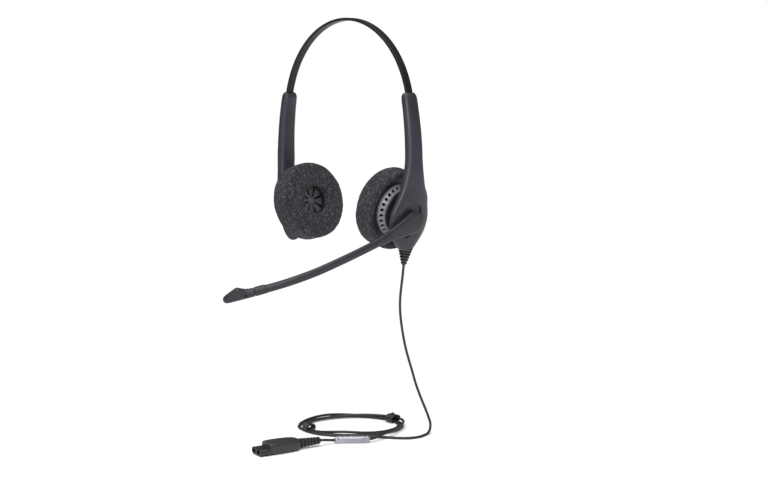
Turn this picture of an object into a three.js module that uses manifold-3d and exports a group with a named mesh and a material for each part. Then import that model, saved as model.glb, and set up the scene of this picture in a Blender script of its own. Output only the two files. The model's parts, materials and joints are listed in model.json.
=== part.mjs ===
// A two-ear office headset with a microphone boom and a quick-disconnect cord.
//
// Millimetres, +Z up. The origin is the underside of the headband at its crown, where it rests on
// the head. +X points to the boom side, -Y to the front of the head. Both arms are drawn on the
// boom side, and the plain side is mirrored in the plane X = 0.
import * as THREE from "three";
import { mergeVertices } from "three/addons/utils/BufferGeometryUtils.js";
import Module from "manifold-3d";

const wasm = await Module();
wasm.setup();

// ---- driving dimensions -------------------------------------------------------------------

const GAP = 0.3; // clearance between pieces that touch

const BAND = { width: 6.6, thickness: 2.2, reach: 70.4, drop: 75, straightFrom: -67.9, end: -100 };
const BAND_WALL = { thickness: 0.45, width: 0.6 };
const SLIDE_LEAN = 5; // degrees between the slide direction and the vertical

const ARM_BOW = { radius: 235, height: -107, reach: 73.4 };
const ARM_WALL = 1;

// Height, half thickness, half width and shift forward of each arm, from its top down.
const ARM_TOP_STATIONS = [
  [-55.2, 1.6, 3.4, 0],
  [-56.2, 3.3, 5.5, 0],
  [-58.5, 4.2, 6.7, 0],
  [-81, 4.3, 7.1, 0],
  [-107, 4.5, 7.7, 0],
];
const BOOM_ARM_STATIONS = [
  ...ARM_TOP_STATIONS,
  [-118, 4.7, 9, 0.2],
  [-128, 4.7, 11.6, 0.6],
  [-137, 4.7, 15.8, 1.1],
  [-145, 4.7, 18.9, 1.4],
  [-152, 4.7, 19.1, 1.5],
  [-160, 4.8, 16.6, 1.4],
  [-167, 5, 11.2, 1],
  [-172.4, 5, 5.6, 0.4],
];
const PLAIN_ARM_STATIONS = [
  ...ARM_TOP_STATIONS,
  [-118, 4.6, 8.2, 0],
  [-130, 4.7, 9.4, 0],
  [-143, 4.7, 10.6, 0],
  [-154, 4.7, 10.4, 0],
  [-163, 4.7, 9, 0],
  [-169.5, 4.4, 7, 0],
  [-173.5, 3.2, 4.4, 0],
  [-175, 1.5, 2, 0],
];
// Height, shift backward and half thickness of the arm at each of its screws.
const BOOM_ARM_SCREWS = [[-119, 0, 4.7], [-136, 8.6, 3.8]];
const PLAIN_ARM_SCREWS = [[-119, 0, 4.6], [-166, 0, 4.5]];

const CUP = { tilt: 12.5, armHeight: -147.5, standOff: 12.2, rearOffset: 2.4 };
const BALL = { radius: 3, bushInner: 3.3, bushOuter: 4.4, socketInner: 4.7, socketOuter: 5.9 };
const CUSHION = { radius: 30.4, holeRadius: 11.5, backRadius: 26.2, back: 2.2, front: 20.4 };
const VENTS = { count: 26, ring: 18.6, radius: 1.2 };
const SLOTS = { count: 8, inner: 3.6, outer: 10.8, innerWidth: 0.8, outerWidth: 1.9 };

const BOOM = { height: -150, forward: 1.5, tilt: 10.5, droop: 21.5, hubRadius: 4, baseRadius: 8.6 };
const BOOM_FACE = { outer: -8.6, base: -2.9 };
const POCKET = { radius: 13.2, floor: -2.6, floorBack: -1.2, notch: 5.2, notchLength: 34 };
const WASHER = { inner: 1.3, outer: 6.4, bottom: 0.5, top: 1 };
const PIVOT_SCREW = { radius: 1, tip: -4.6, headRadius: 2.3, headFrom: 1.3, headTo: 1.9, drive: 0.9 };
const BOARD = { height: -129, length: 12, halfWidth: 4.5, halfThickness: 0.5 };

const FLOOR = -320.8; // the surface that the cord lies on
const CORD_RADIUS = 1;
// The coil is an oval ring. Its sizes are along its long axis, which is turned from +X.
const COIL = { x: -1.4, y: 6.7, turn: 47, inner: 33.4, outer: 42, height: 4.7, flatness: 0.82 };
const TIE = { wall: 0.8, halfWidth: 1.6, leftAngle: 219, rightAngle: 31 };

const PLUG = { x: 22.4, y: -71.3, yaw: -102.5, axisHeight: 4.5, gripLength: 26, tongueLength: 8.5 };
const GRIP = { height: 9.4, bevel: 1, hollowFrom: 7, hollowTo: 23.8, mouthTo: 30, halfHollow: 5.4 };
const GRIP_HEIGHTS = { bottom: 1.5, mouthTop: 5.6, top: 7.9 };
const TONGUE = { halfWidth: 7.5, bottom: 0.7, top: 5.3 };
const TONGUE_ROOT = { from: 12, halfWidth: 5, bottom: 1.9, top: 5.2 };
const SOCKETS = { from: 14, apart: 6.8, halfWidth: 2, bottom: 1.9, top: 4.3 };

// Strain reliefs, along their axis down from the piece that they grow out of.
const ARM_RELIEF = {
  top: -0.6, length: 10, count: 5, radius: 4.9, taper: 2.6, rib: 1.5, groove: 0.5, depth: 0.8, tip: 2.1,
};
const PLUG_RELIEF = {
  top: -0.4, length: 19.5, count: 7, radius: 3.9, taper: 1.2, rib: 1.7, groove: 0.8, depth: 0.9, tip: 2.1,
};

// ---- materials -----------------------------------------------------------------------------

function plastic(color, roughness = 0.55) {
  return new THREE.MeshStandardMaterial({ color, roughness, metalness: 0 });
}

function metal(color) {
  return new THREE.MeshStandardMaterial({ color, roughness: 0.35, metalness: 1 });
}

const CHARCOAL = 0x2f2f34;
const BLACK = 0x1d1d20;
const FOAM = 0x2b2b30;
const CAPSULE_GREY = 0x6b6d72;
const STEEL = 0x9a9da1;
const BRASS = 0xb9924a;
const BOOM_GREY = 0x3a3b3f;
const BOARD_GREEN = 0x1f5a3a;
const LABEL_SILVER = 0xc9ccd2;

// ---- shape helpers -------------------------------------------------------------------------

const radians = THREE.MathUtils.degToRad;

function part(name, geometry, material) {
  const mesh = new THREE.Mesh(geometry, material);
  mesh.name = name;
  return mesh;
}

// A closed geometry as a solid that can be joined and cut.
function toSolid(geometry) {
  const bare = geometry.clone();
  bare.deleteAttribute("normal");
  bare.deleteAttribute("uv");
  const merged = mergeVertices(bare, 1e-4);
  return new wasm.Manifold(
    new wasm.Mesh({
      numProp: 3,
      vertProperties: merged.attributes.position.array,
      triVerts: new Uint32Array(merged.index.array),
    }),
  );
}

function toGeometry(solid) {
  const mesh = solid.getMesh();
  const geometry = new THREE.BufferGeometry();
  geometry.setAttribute("position", new THREE.BufferAttribute(mesh.vertProperties, 3));
  geometry.setIndex(new THREE.BufferAttribute(mesh.triVerts, 1));
  return geometry;
}

// Cuts every solid of a list from a first one.
function cut(solid, tools) {
  return tools.reduce((rest, tool) => rest.subtract(tool), solid);
}

// A solid of revolution about +Z from a closed outline of [radius, height] points.
function turned(outline, segments = 20) {
  const points = outline.map(([radius, height]) => new THREE.Vector2(radius, height));
  if (THREE.ShapeUtils.area(points) < 0) points.reverse();
  if (points[0].x !== 0 || points.at(-1).x !== 0) points.push(points[0].clone());
  return new THREE.LatheGeometry(points, segments).rotateX(Math.PI / 2);
}

// A straight rod along +Z between two heights.
function rod(radius, from, to, segments = 16) {
  return new THREE.CylinderGeometry(radius, radius, to - from, segments)
    .rotateX(Math.PI / 2)
    .translate(0, 0, (from + to) / 2);
}

// A box from its lowest and highest corners.
function block([x0, y0, z0], [x1, y1, z1]) {
  return new THREE.BoxGeometry(x1 - x0, y1 - y0, z1 - z0).translate(
    (x0 + x1) / 2,
    (y0 + y1) / 2,
    (z0 + z1) / 2,
  );
}

// A plate whose outline of [x, z] points lies in the XZ plane, between two Y values.
function plate(outline, yFrom, yTo) {
  const shape = new THREE.Shape(outline.map(([x, z]) => new THREE.Vector2(x, z)));
  return new THREE.ExtrudeGeometry(shape, { depth: yTo - yFrom, bevelEnabled: false })
    .rotateX(Math.PI / 2)
    .translate(0, yTo, 0);
}

// A closed solid through rings. Each ring has a centre, a direction across it, its half sizes
// across and to the side, and a squareness of 2 for an ellipse and more for a boxy section.
function loft(rings, sides) {
  const steps = rings.length - 1;
  const geometry = new THREE.CylinderGeometry(1, 1, 1, sides, steps);
  const position = geometry.attributes.position;
  const bulge = (value, squareness) => Math.sign(value) * Math.abs(value) ** (2 / squareness);
  for (let i = 0; i < position.count; i++) {
    const index = Math.round((0.5 - position.getY(i)) * steps);
    const ring = rings[index];
    const before = rings[Math.max(index - 1, 0)].centre;
    const after = rings[Math.min(index + 1, steps)].centre;
    const along = after.clone().sub(before).normalize();
    const side = along.cross(ring.across);
    const squareness = ring.squareness ?? 2;
    const u = bulge(position.getX(i), squareness) * ring.halfAcross;
    const v = bulge(position.getZ(i), squareness) * ring.halfSide;
    const point = ring.centre.clone().addScaledVector(ring.across, u).addScaledVector(side, v);
    position.setXYZ(i, point.x, point.y, point.z);
  }
  return geometry;
}

// A smooth curve through a list of [x, y, z] points.
function route(points) {
  return new THREE.CatmullRomCurve3(points.map((point) => new THREE.Vector3(...point)));
}

// A round cord along a path, or a sleeve around it where it has an inner radius.
function tube(path, radius, steps, innerRadius = 0) {
  const section = new THREE.Shape().absarc(0, 0, radius, 0, 2 * Math.PI);
  if (innerRadius > 0) {
    section.holes.push(new THREE.Path().absarc(0, 0, innerRadius, 0, 2 * Math.PI, true));
  }
  const settings = { steps, extrudePath: path, curveSegments: 4, bevelEnabled: false };
  return new THREE.ExtrudeGeometry(section, settings);
}

// ---- headband ------------------------------------------------------------------------------

// Half of the band's centre line as [x, z], from the crown down to its straight end.
function bandLine() {
  const line = [];
  const arcSteps = 18;
  const crown = Math.PI / 2;
  const lowest = Math.asin(1 + BAND.straightFrom / BAND.drop);
  for (let i = 0; i <= arcSteps; i++) {
    const angle = crown + (i / arcSteps) * (lowest - crown);
    line.push([BAND.reach * Math.cos(angle), BAND.drop * (Math.sin(angle) - 1)]);
  }
  const [x, z] = line.at(-1);
  line.push([x + (z - BAND.end) * Math.tan(radians(SLIDE_LEAN)), BAND.end]);
  return line.map(([px, pz]) => [px, pz + BAND.thickness / 2]);
}

// The outline of a strip of the band, shifted off the centre line to both sides.
function bandOutline(halfThickness, shortening) {
  const half = bandLine();
  const whole = [...half.slice(1).reverse().map(([x, z]) => [-x, z]), ...half];
  const offset = (side) =>
    whole.map(([x, z], i) => {
      const [ax, az] = whole[Math.max(i - 1, 0)];
      const [bx, bz] = whole[Math.min(i + 1, whole.length - 1)];
      const length = Math.hypot(bx - ax, bz - az);
      const tangent = [(bx - ax) / length, (bz - az) / length];
      const trim = i === 0 ? shortening : i === whole.length - 1 ? -shortening : 0;
      return [
        x - side * halfThickness * tangent[1] + trim * tangent[0],
        z + side * halfThickness * tangent[0] + trim * tangent[1],
      ];
    });
  return [...offset(1), ...offset(-1).reverse()];
}

function makeHeadband() {
  const group = new THREE.Group();
  const halfWidth = BAND.width / 2;
  const channel = BAND.thickness / 2 - BAND_WALL.thickness;
  const channelWidth = halfWidth - BAND_WALL.width;
  const skin = toSolid(plate(bandOutline(BAND.thickness / 2, 0), -halfWidth, halfWidth));
  const hollow = toSolid(plate(bandOutline(channel, -1), -channelWidth, channelWidth));
  group.add(part("headband_cover", toGeometry(skin.subtract(hollow)), plastic(BLACK, 0.45)));
  const core = channel - GAP;
  const wireWidth = 0.9;
  const wireEdge = channelWidth - GAP - wireWidth;
  const spring = plate(bandOutline(core, 1), -channelWidth + GAP, wireEdge - GAP);
  group.add(part("headband_spring", spring, metal(STEEL)));
  const wire = plate(bandOutline(core, 1), wireEdge, channelWidth - GAP);
  group.add(part("headband_speaker_lead", wire, plastic(0x602020, 0.5)));
  for (const [name, side] of [["boom_side", 1], ["plain_side", -1]]) {
    const holder = new THREE.Group();
    holder.scale.x = side;
    holder.add(part(`${name}_band_slider`, makeBandSlider(), plastic(CHARCOAL)));
    group.add(holder);
  }
  return group;
}

// The clip on each end of the band that runs in the arm and stops the band from coming out.
function makeBandSlider() {
  const [x, z] = bandLine().at(-1);
  const sleeve = { half: 1.6, width: 4.1, length: 8 };
  const clip = toSolid(
    block([-sleeve.half, -sleeve.width, -0.9], [sleeve.half, sleeve.width, sleeve.length]),
  );
  const fit = [BAND.thickness / 2 + GAP, BAND.width / 2 + GAP];
  const passage = toSolid(block([-fit[0], -fit[1], -2], [fit[0], fit[1], sleeve.length + 1]));
  return toGeometry(clip.subtract(passage))
    .rotateY(radians(-SLIDE_LEAN))
    .translate(x, 0, z);
}

// ---- arms ----------------------------------------------------------------------------------

function armX(z) {
  return ARM_BOW.reach - (z - ARM_BOW.height) ** 2 / (2 * ARM_BOW.radius);
}

// The direction across an arm, from the head outwards, at a height.
function armAcross(z) {
  const slope = (ARM_BOW.height - z) / ARM_BOW.radius;
  return new THREE.Vector3(1, 0, -slope).normalize();
}

function armHull(stations, wall) {
  const rings = stations
    .filter(([, thickness, width]) => thickness > wall + 0.4 && width > wall + 0.4)
    .map(([z, thickness, width, forward]) => ({
      centre: new THREE.Vector3(armX(z), -forward, z),
      across: armAcross(z),
      halfAcross: thickness - wall,
      halfSide: width - wall,
      squareness: 2.15,
    }));
  return toSolid(loft(rings, 12));
}

// Everything on one side of an arm's parting surface.
function armHalf(side) {
  const farX = ARM_BOW.reach + side * 40;
  const outline = [];
  for (let z = -40; z >= -200; z -= 8) outline.push([armX(z) + (side * GAP) / 2, z]);
  outline.push([farX, -200], [farX, -40]);
  if (side < 0) outline.reverse();
  return toSolid(plate(outline, -40, 40));
}

// The slot in the top of an arm, wide enough for the band's bend as it slides in.
function bandSlot() {
  const slot = { inner: 65.6, outer: 70.8, halfWidth: BAND.width / 2 + 0.5 };
  return toSolid(block([slot.inner, -slot.halfWidth, -64], [slot.outer, slot.halfWidth, -50]));
}

// A rod across an arm at a height and a distance behind its middle.
function crossRod(radius, z, y, from, to, segments = 12) {
  const across = armAcross(z);
  const turn = new THREE.Quaternion().setFromUnitVectors(new THREE.Vector3(0, 0, 1), across);
  return rod(radius, from, to, segments)
    .applyQuaternion(turn)
    .translate(armX(z), y, z);
}

const SCREW = { head: 1.9, headDepth: 1, shank: 0.9, boss: 2.6, sink: 2.2 };

function screwGeometry(z, y, innerFace) {
  const headTop = -innerFace + SCREW.sink;
  const head = toSolid(crossRod(SCREW.head, z, y, headTop - SCREW.headDepth, headTop));
  const shank = toSolid(crossRod(SCREW.shank, z, y, headTop - 0.2, innerFace - 1.6));
  const drive = toSolid(crossRod(0.8, z, y, headTop - SCREW.headDepth - 1, headTop - 0.5, 6));
  return toGeometry(head.add(shank).subtract(drive));
}

// Both half shells of an arm and the screws between them.
function makeArmShells(name, stations, screws, outerTools, keepOut) {
  const group = new THREE.Group();
  const hull = armHull(stations, 0);
  const bosses = screws.map(([z, y]) => toSolid(crossRod(SCREW.boss, z, y, -10, 10)));
  const cavity = cut(armHull(stations, ARM_WALL), [...bosses, ...keepOut]);
  const holes = screws.flatMap(([z, y, face]) => [
    toSolid(crossRod(SCREW.shank + GAP, z, y, -face, face - 1.3)),
    toSolid(crossRod(SCREW.head + GAP, z, y, -12, -face + SCREW.sink + GAP)),
  ]);
  const stud = toSolid(placeInCup(rod(2.3, -12, 0)));
  const shell = cut(hull, [cavity, bandSlot(), ...holes]);
  const outer = cut(shell.intersect(armHalf(1)), outerTools);
  const inner = shell.intersect(armHalf(-1)).subtract(stud);
  group.add(part(`${name}_arm_outer_shell`, toGeometry(outer), plastic(CHARCOAL, 0.5)));
  group.add(part(`${name}_arm_inner_shell`, toGeometry(inner), plastic(CHARCOAL, 0.5)));
  screws.forEach(([z, y, face], i) => {
    group.add(part(`${name}_arm_screw_${i + 1}`, screwGeometry(z, y, face), metal(STEEL)));
  });
  return group;
}

// ---- ear cups ------------------------------------------------------------------------------

// Moves a geometry from an ear cup's own frame, whose origin is the ball's centre and whose +Z
// points in to the head, to its place on the boom-side arm.
function placeInCup(geometry) {
  const tilt = radians(CUP.tilt);
  const inward = new THREE.Vector3(-Math.cos(tilt), 0, Math.sin(tilt));
  const centre = new THREE.Vector3(armX(CUP.armHeight), CUP.rearOffset, CUP.armHeight);
  centre.addScaledVector(inward, CUP.standOff);
  return geometry.rotateY(tilt - Math.PI / 2).translate(centre.x, centre.y, centre.z);
}

// Points on an arc about a centre on the axis, by angle in degrees from the axis.
function arcPoints(radius, fromDegrees, toDegrees, steps, centre = [0, 0]) {
  const points = [];
  for (let i = 0; i <= steps; i++) {
    const angle = radians(fromDegrees + ((toDegrees - fromDegrees) * i) / steps);
    points.push([centre[0] + radius * Math.sin(angle), centre[1] + radius * Math.cos(angle)]);
  }
  return points;
}

function cushionGeometry() {
  const { radius, holeRadius, backRadius, back, front } = CUSHION;
  const frontRound = 7;
  const backRound = 3;
  return turned([
    [holeRadius, 13.3],
    [holeRadius, front - 1.2],
    [holeRadius + 1.2, front],
    ...arcPoints(frontRound, 0, 90, 4, [radius - frontRound, front - frontRound]),
    ...arcPoints(backRound, 90, 180, 3, [radius - backRound, back + backRound]),
    [backRadius, back + 1.2],
    [backRadius, 6.2],
    [24.4, 7.6],
    [24.4, 13.3],
  ], 22);
}

function frontPlateGeometry() {
  const disc = toSolid(turned([
    [0, 11.4],
    [22.3, 11.4],
    [22.3, 9.9],
    [24, 9.9],
    [24, 13],
    [3, 13],
    [2.4, 13.6],
    [0, 13.6],
  ], 20));
  const slots = [];
  for (let i = 0; i < SLOTS.count; i++) {
    const slot = new THREE.Shape([
      new THREE.Vector2(SLOTS.inner, -SLOTS.innerWidth / 2),
      new THREE.Vector2(SLOTS.outer, -SLOTS.outerWidth / 2),
      new THREE.Vector2(SLOTS.outer, SLOTS.outerWidth / 2),
      new THREE.Vector2(SLOTS.inner, SLOTS.innerWidth / 2),
    ]);
    const tool = new THREE.ExtrudeGeometry(slot, { depth: 5, bevelEnabled: false })
      .translate(0, 0, 10)
      .rotateZ((i * 2 * Math.PI) / SLOTS.count);
    slots.push(toSolid(tool));
  }
  return toGeometry(cut(disc, slots));
}

// The bowl behind the speaker, with its ring of vents and the socket for the ball.
function backShellGeometry() {
  const bowl = toSolid(turned([
    ...arcPoints(BALL.socketInner, 115, 60, 3),
    ...arcPoints(BALL.socketOuter, 60, 95, 2),
    [BALL.socketOuter + 0.3, -0.6],
    [11, -0.6],
    [15.8, 0.8],
    [19.2, 3.8],
    [19.8, 6.4],
    [22.6, 6.4],
    [22.6, 9.6],
    [24, 9.6],
    [24, 5.2],
    [22, 5.2],
    [20.8, 3],
    [16.4, -0.8],
    [11, -2.1],
  ], 20));
  const vents = [];
  for (let i = 0; i < VENTS.count; i++) {
    const angle = ((i + 0.5) * 2 * Math.PI) / VENTS.count;
    const hole = rod(VENTS.radius, -4, 4.6, 4)
      .translate(VENTS.ring * Math.cos(angle), VENTS.ring * Math.sin(angle), 0);
    vents.push(toSolid(hole));
  }
  return toGeometry(cut(bowl, vents));
}

function ballStudGeometry() {
  const neck = 1.7;
  const neckAngle = 180 - THREE.MathUtils.radToDeg(Math.asin(neck / BALL.radius));
  return turned([
    ...arcPoints(BALL.radius, 0, neckAngle, 5),
    [neck, -6],
    [2, -6.6],
    [2, -9.2],
    [2.9, -9.2],
    [2.9, -9.9],
    [0, -9.9],
  ], 12);
}

function ballBushGeometry() {
  return turned([
    ...arcPoints(BALL.bushOuter, 56, 124, 3),
    ...arcPoints(BALL.bushInner, 133, 47, 5),
  ], 14);
}

const DRIVER_FRAME = [
  [8.6, 5.2],
  [12, 5.2],
  [17, 6.8],
  [22.2, 6.8],
  [22.2, 8],
  [16.6, 8],
  [11.6, 6.4],
  [8.6, 6.4],
];
const DIAPHRAGM = [
  [0, 9.9],
  [6, 9.5],
  [9, 8.9],
  [13, 9.6],
  [16.3, 8.8],
  [16.3, 8.4],
  [13, 9.2],
  [9, 8.5],
  [6, 9.1],
  [0, 9.5],
];

function makeCup(name) {
  const group = new THREE.Group();
  const add = (piece, geometry, material) => {
    group.add(part(`${name}_${piece}`, placeInCup(geometry), material));
  };
  add("ball_stud", ballStudGeometry(), plastic(BLACK));
  add("ball_bush", ballBushGeometry(), plastic(0xd8d8d4));
  add("speaker_back_shell", backShellGeometry(), plastic(CAPSULE_GREY));
  add("ball_retainer", rod(5.4, 3.3, 4.5, 20), plastic(BLACK));
  const rearMesh = [[9.5, 4.1], [18.8, 4.1], [18.8, 4.5], [9.5, 4.5]];
  add("speaker_rear_mesh", turned(rearMesh, 16), plastic(0x101012));
  add("driver_frame", turned(DRIVER_FRAME, 16), plastic(BLACK));
  add("driver_magnet", rod(8.3, 4.9, 8.2, 20), metal(STEEL));
  add("driver_diaphragm", turned(DIAPHRAGM, 16), plastic(0xb8b8b0, 0.3));
  add("speaker_front_mesh", rod(22, 10.2, 10.6, 16), plastic(0x101012));
  add("speaker_front_plate", frontPlateGeometry(), plastic(0x46474b));
  add("ear_cushion", cushionGeometry(), plastic(FOAM, 0.95));
  return group;
}

// ---- microphone boom -----------------------------------------------------------------------

// Moves a geometry from the boom's own frame, whose origin is on the pivot in the arm's middle,
// whose +Z points in to the head and whose -Y runs out along the boom, to its place.
function placeAtPivot(geometry, droop = BOOM.droop) {
  return geometry
    .rotateZ(radians(-droop))
    .rotateY(radians(BOOM.tilt) - Math.PI / 2)
    .translate(armX(BOOM.height), -BOOM.forward, BOOM.height);
}

// The boom's centre line: straight off the base, then curving in to the mouth.
const BOOM_LINE = new THREE.CatmullRomCurve3([
  new THREE.Vector3(0, 0, -6.75),
  new THREE.Vector3(0.5, -23, -6.9),
  new THREE.Vector3(0.6, -48, -5.4),
  new THREE.Vector3(0.6, -73, -2.2),
  new THREE.Vector3(0.6, -93, 1.6),
  new THREE.Vector3(0.6, -113, 8.3),
  new THREE.Vector3(0.6, -133, 18),
  new THREE.Vector3(0.6, -156, 30.5),
]);

const BOOM_JOINTS = { collar: 0.74, housing: 0.813 };

// A stretch of the boom between two fractions of its length, with rings of half sizes given as
// [fraction, half width, half thickness].
function boomStretch(sizes, sides = 12) {
  const rings = sizes.map(([fraction, width, thickness]) => ({
    centre: BOOM_LINE.getPointAt(fraction),
    across: new THREE.Vector3(1, 0, 0),
    halfAcross: width,
    halfSide: thickness,
    squareness: 2.3,
  }));
  return loft(rings, sides);
}

function boomBarSizes() {
  const root = [[0.02, 7.4, 1.85], [0.05, 7.3, 1.85], [0.1, 5.9, 1.85], [0.14, 4.8, 1.9], [0.18, 3.9, 2]];
  const sizes = [...root, [0.25, 3.1, 2.1]];
  const rings = 9;
  for (let i = 1; i <= rings; i++) {
    const fraction = 0.25 + ((BOOM_JOINTS.collar - 0.25) * i) / rings;
    sizes.push([fraction, 3.1 - (0.4 * i) / rings, 2.1 + (0.3 * i) / rings]);
  }
  return sizes;
}

function makeBoom() {
  const group = new THREE.Group();
  const { outer, base } = BOOM_FACE;
  const disc = toSolid(turned([
    [0, outer],
    [BOOM.baseRadius - 1.2, outer],
    [BOOM.baseRadius, outer + 1.2],
    [BOOM.baseRadius, base],
    [BOOM.hubRadius, base],
    [BOOM.hubRadius, 0.2],
    [1.3, 0.2],
    [1.3, -5],
    [0, -5],
  ], 28));
  const bar = toSolid(boomStretch(boomBarSizes()));
  group.add(part("boom_tube", placeAtPivot(toGeometry(disc.add(bar))), plastic(BOOM_GREY)));

  const collar = boomStretch([
    [BOOM_JOINTS.collar + 0.002, 2.7, 2.5],
    [BOOM_JOINTS.collar + 0.01, 3, 2.8],
    [BOOM_JOINTS.housing - 0.01, 3, 2.8],
    [BOOM_JOINTS.housing - 0.002, 2.7, 2.5],
  ]);
  group.add(part("boom_collar", placeAtPivot(collar), plastic(BLACK)));
  group.add(part("microphone_housing", placeAtPivot(micHousing()), plastic(BOOM_GREY)));
  group.add(part("microphone_grille", placeAtPivot(micGrille()), plastic(BLACK)));
  group.add(part("microphone_capsule", placeAtPivot(micCapsule()), metal(STEEL)));

  group.add(part("boom_retaining_washer", placeAtPivot(washerGeometry()), metal(STEEL)));
  group.add(part("boom_pivot_screw", placeAtPivot(pivotScrewGeometry()), metal(STEEL)));
  return group;
}

function washerGeometry() {
  const { inner, outer, bottom, top } = WASHER;
  return turned([[inner, bottom], [outer, bottom], [outer, top], [inner, top]], 16);
}

function pivotScrewGeometry() {
  const { radius, tip, headRadius, headFrom, headTo, drive } = PIVOT_SCREW;
  const shank = toSolid(rod(radius, tip, headFrom + 0.1, 12));
  const head = toSolid(rod(headRadius, headFrom, headTo, 16));
  const recess = toSolid(rod(drive, (headFrom + headTo) / 2, headTo + 1, 6));
  return toGeometry(shank.add(head).subtract(recess));
}

// The frame of the boom's line at a fraction of its length: its place and its direction.
function boomFrame(fraction) {
  const along = BOOM_LINE.getTangentAt(fraction);
  const turn = new THREE.Quaternion().setFromUnitVectors(new THREE.Vector3(0, -1, 0), along);
  return { place: BOOM_LINE.getPointAt(fraction), turn };
}

function placeOnBoom(geometry, fraction) {
  const { place, turn } = boomFrame(fraction);
  return geometry.applyQuaternion(turn).translate(place.x, place.y, place.z);
}

const CAPSULE_AT = 0.902;

function micHousing() {
  const body = toSolid(boomStretch([
    [BOOM_JOINTS.housing + 0.002, 2.7, 2.5],
    [0.84, 2.8, 2.6],
    [0.89, 3.8, 3],
    [0.93, 4.2, 3],
    [0.965, 3.6, 2.8],
    [0.99, 2.6, 2.2],
    [1, 1.2, 1],
  ]));
  const pocket = toSolid(placeOnBoom(rod(2.4, -1.2, 8), CAPSULE_AT));
  return toGeometry(body.subtract(pocket));
}

function micCapsule() {
  return placeOnBoom(rod(2, -0.9, 1.1), CAPSULE_AT);
}

function micGrille() {
  const cap = toSolid(placeOnBoom(rod(2.1, 1.4, 2.9), CAPSULE_AT));
  const port = toSolid(placeOnBoom(rod(0.6, -1, 6, 8), CAPSULE_AT));
  return toGeometry(cap.subtract(port));
}

// ---- cord and plug -------------------------------------------------------------------------

// The cord's way down from the strain relief to the coil that lies under the headset.
const HANGING_ROUTE = [
  [62.6, 0.4, -184.4],
  [61.6, 0.1, -194],
  [60.1, 0.1, -203],
  [58.6, 0.6, -212],
  [57.4, 1.9, -221],
  [56.6, 3.9, -230],
  [56, 6.4, -239.5],
  [55.5, 9.4, -249],
  [55.4, 13, -259],
  [55.3, 17.2, -269.5],
  [55.1, 21.4, -280],
  [55.3, 26, -290],
  [55.7, 30.4, -299],
  [56, 34.2, -307],
  [56.2, 36.4, -313.2],
  [56.8, 35.2, -317.6],
  [58.4, 31, -319.6],
  [60.4, 25, -319.8],
  [61.2, 18.6, -319.8],
  [59.8, 12.4, -319.8],
  [56, 7.2, -319.8],
  [50.6, 3, -319.8],
  [43.9, -1.4, -319.8],
  [37.1, -6, -319.8],
  [31.6, -10.4, -319.8],
];

// The cord's way from the front of the coil, over its own way in, to the plug's strain relief.
const TAIL_ROUTE = [
  [39.1, 14.8, -317.2],
  [41.5, 7.1, -317],
  [43.8, -0.7, -316.9],
  [45.4, -8.1, -317.1],
  [46, -14.9, -317.8],
  [44.1, -20.6, -318.3],
  [39.8, -26.1, -318.4],
  [34.4, -31.8, -318.4],
  [30.4, -37.1, -318.3],
  [28.4, -42.7, -317.7],
  [27.5, -47.7, -316.9],
  [26.8, -51.2, -316.5],
];
const LABEL = { from: 0.44, to: 0.8, innerRadius: 1.6, outerRadius: 2.4 };

// The ribs and tip of a strain relief, as the end of an outline of [radius, height] points.
function reliefRibs({ top, length, count, radius, taper, rib, groove, depth, tip }) {
  const outline = [];
  for (let i = 0; i < count; i++) {
    const outer = radius - (taper * (i + 0.5)) / count;
    const ribEnd = top - (i * length) / count - rib;
    outline.push([outer, ribEnd], [outer - depth, ribEnd - 0.1], [outer - depth, ribEnd - 0.1 - groove]);
  }
  return [...outline, [tip, top - length], [0, top - length]];
}

// The relief under the boom side's arm. Its plug-like root is held between the arm's shells.
function armReliefGeometry() {
  const root = [[0, 3.2], [3.3, 3.2], [3.3, 0.4], [ARM_RELIEF.radius, ARM_RELIEF.top]];
  return turned([...root, ...reliefRibs(ARM_RELIEF)], 12)
    .rotateY(radians(9))
    .translate(armX(-173) + 0.3, 0.5, -173.1);
}

// Turns and moves a geometry from the coil's own frame, whose +X is the coil's long axis.
function placeCoil(geometry) {
  return geometry.rotateZ(radians(COIL.turn)).translate(COIL.x, COIL.y, FLOOR);
}

function coilGeometry() {
  const { inner, outer, height, flatness } = COIL;
  const ring = turned([
    [inner, 1],
    [inner + 1, 0],
    [outer - 1, 0],
    [outer, 1],
    [outer, height - 1],
    [outer - 1, height],
    [inner + 1, height],
    [inner, height - 1],
  ], 28);
  return placeCoil(ring.scale(1, flatness, 1));
}

// A band around the coil's turns, at an angle from the coil's long axis.
function tieGeometry(angleDegrees) {
  const { wall, halfWidth } = TIE;
  const angle = radians(angleDegrees);
  const middle = (COIL.inner + COIL.outer) / 2;
  const place = [middle * Math.cos(angle), middle * COIL.flatness * Math.sin(angle)];
  const outwards = Math.atan2(Math.sin(angle), COIL.flatness * Math.cos(angle));
  const spread = COIL.outer - COIL.inner + 4 * GAP;
  const top = COIL.height + GAP;
  const reach = spread / 2 + wall;
  const outer = toSolid(block([-reach, -halfWidth, -wall], [reach, halfWidth, top + wall]));
  const inner = toSolid(block([-spread / 2, -2 * halfWidth, -GAP], [spread / 2, 2 * halfWidth, top]));
  const tie = toGeometry(outer.subtract(inner)).rotateZ(outwards);
  return placeCoil(tie.translate(place[0], place[1], 0));
}

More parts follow.
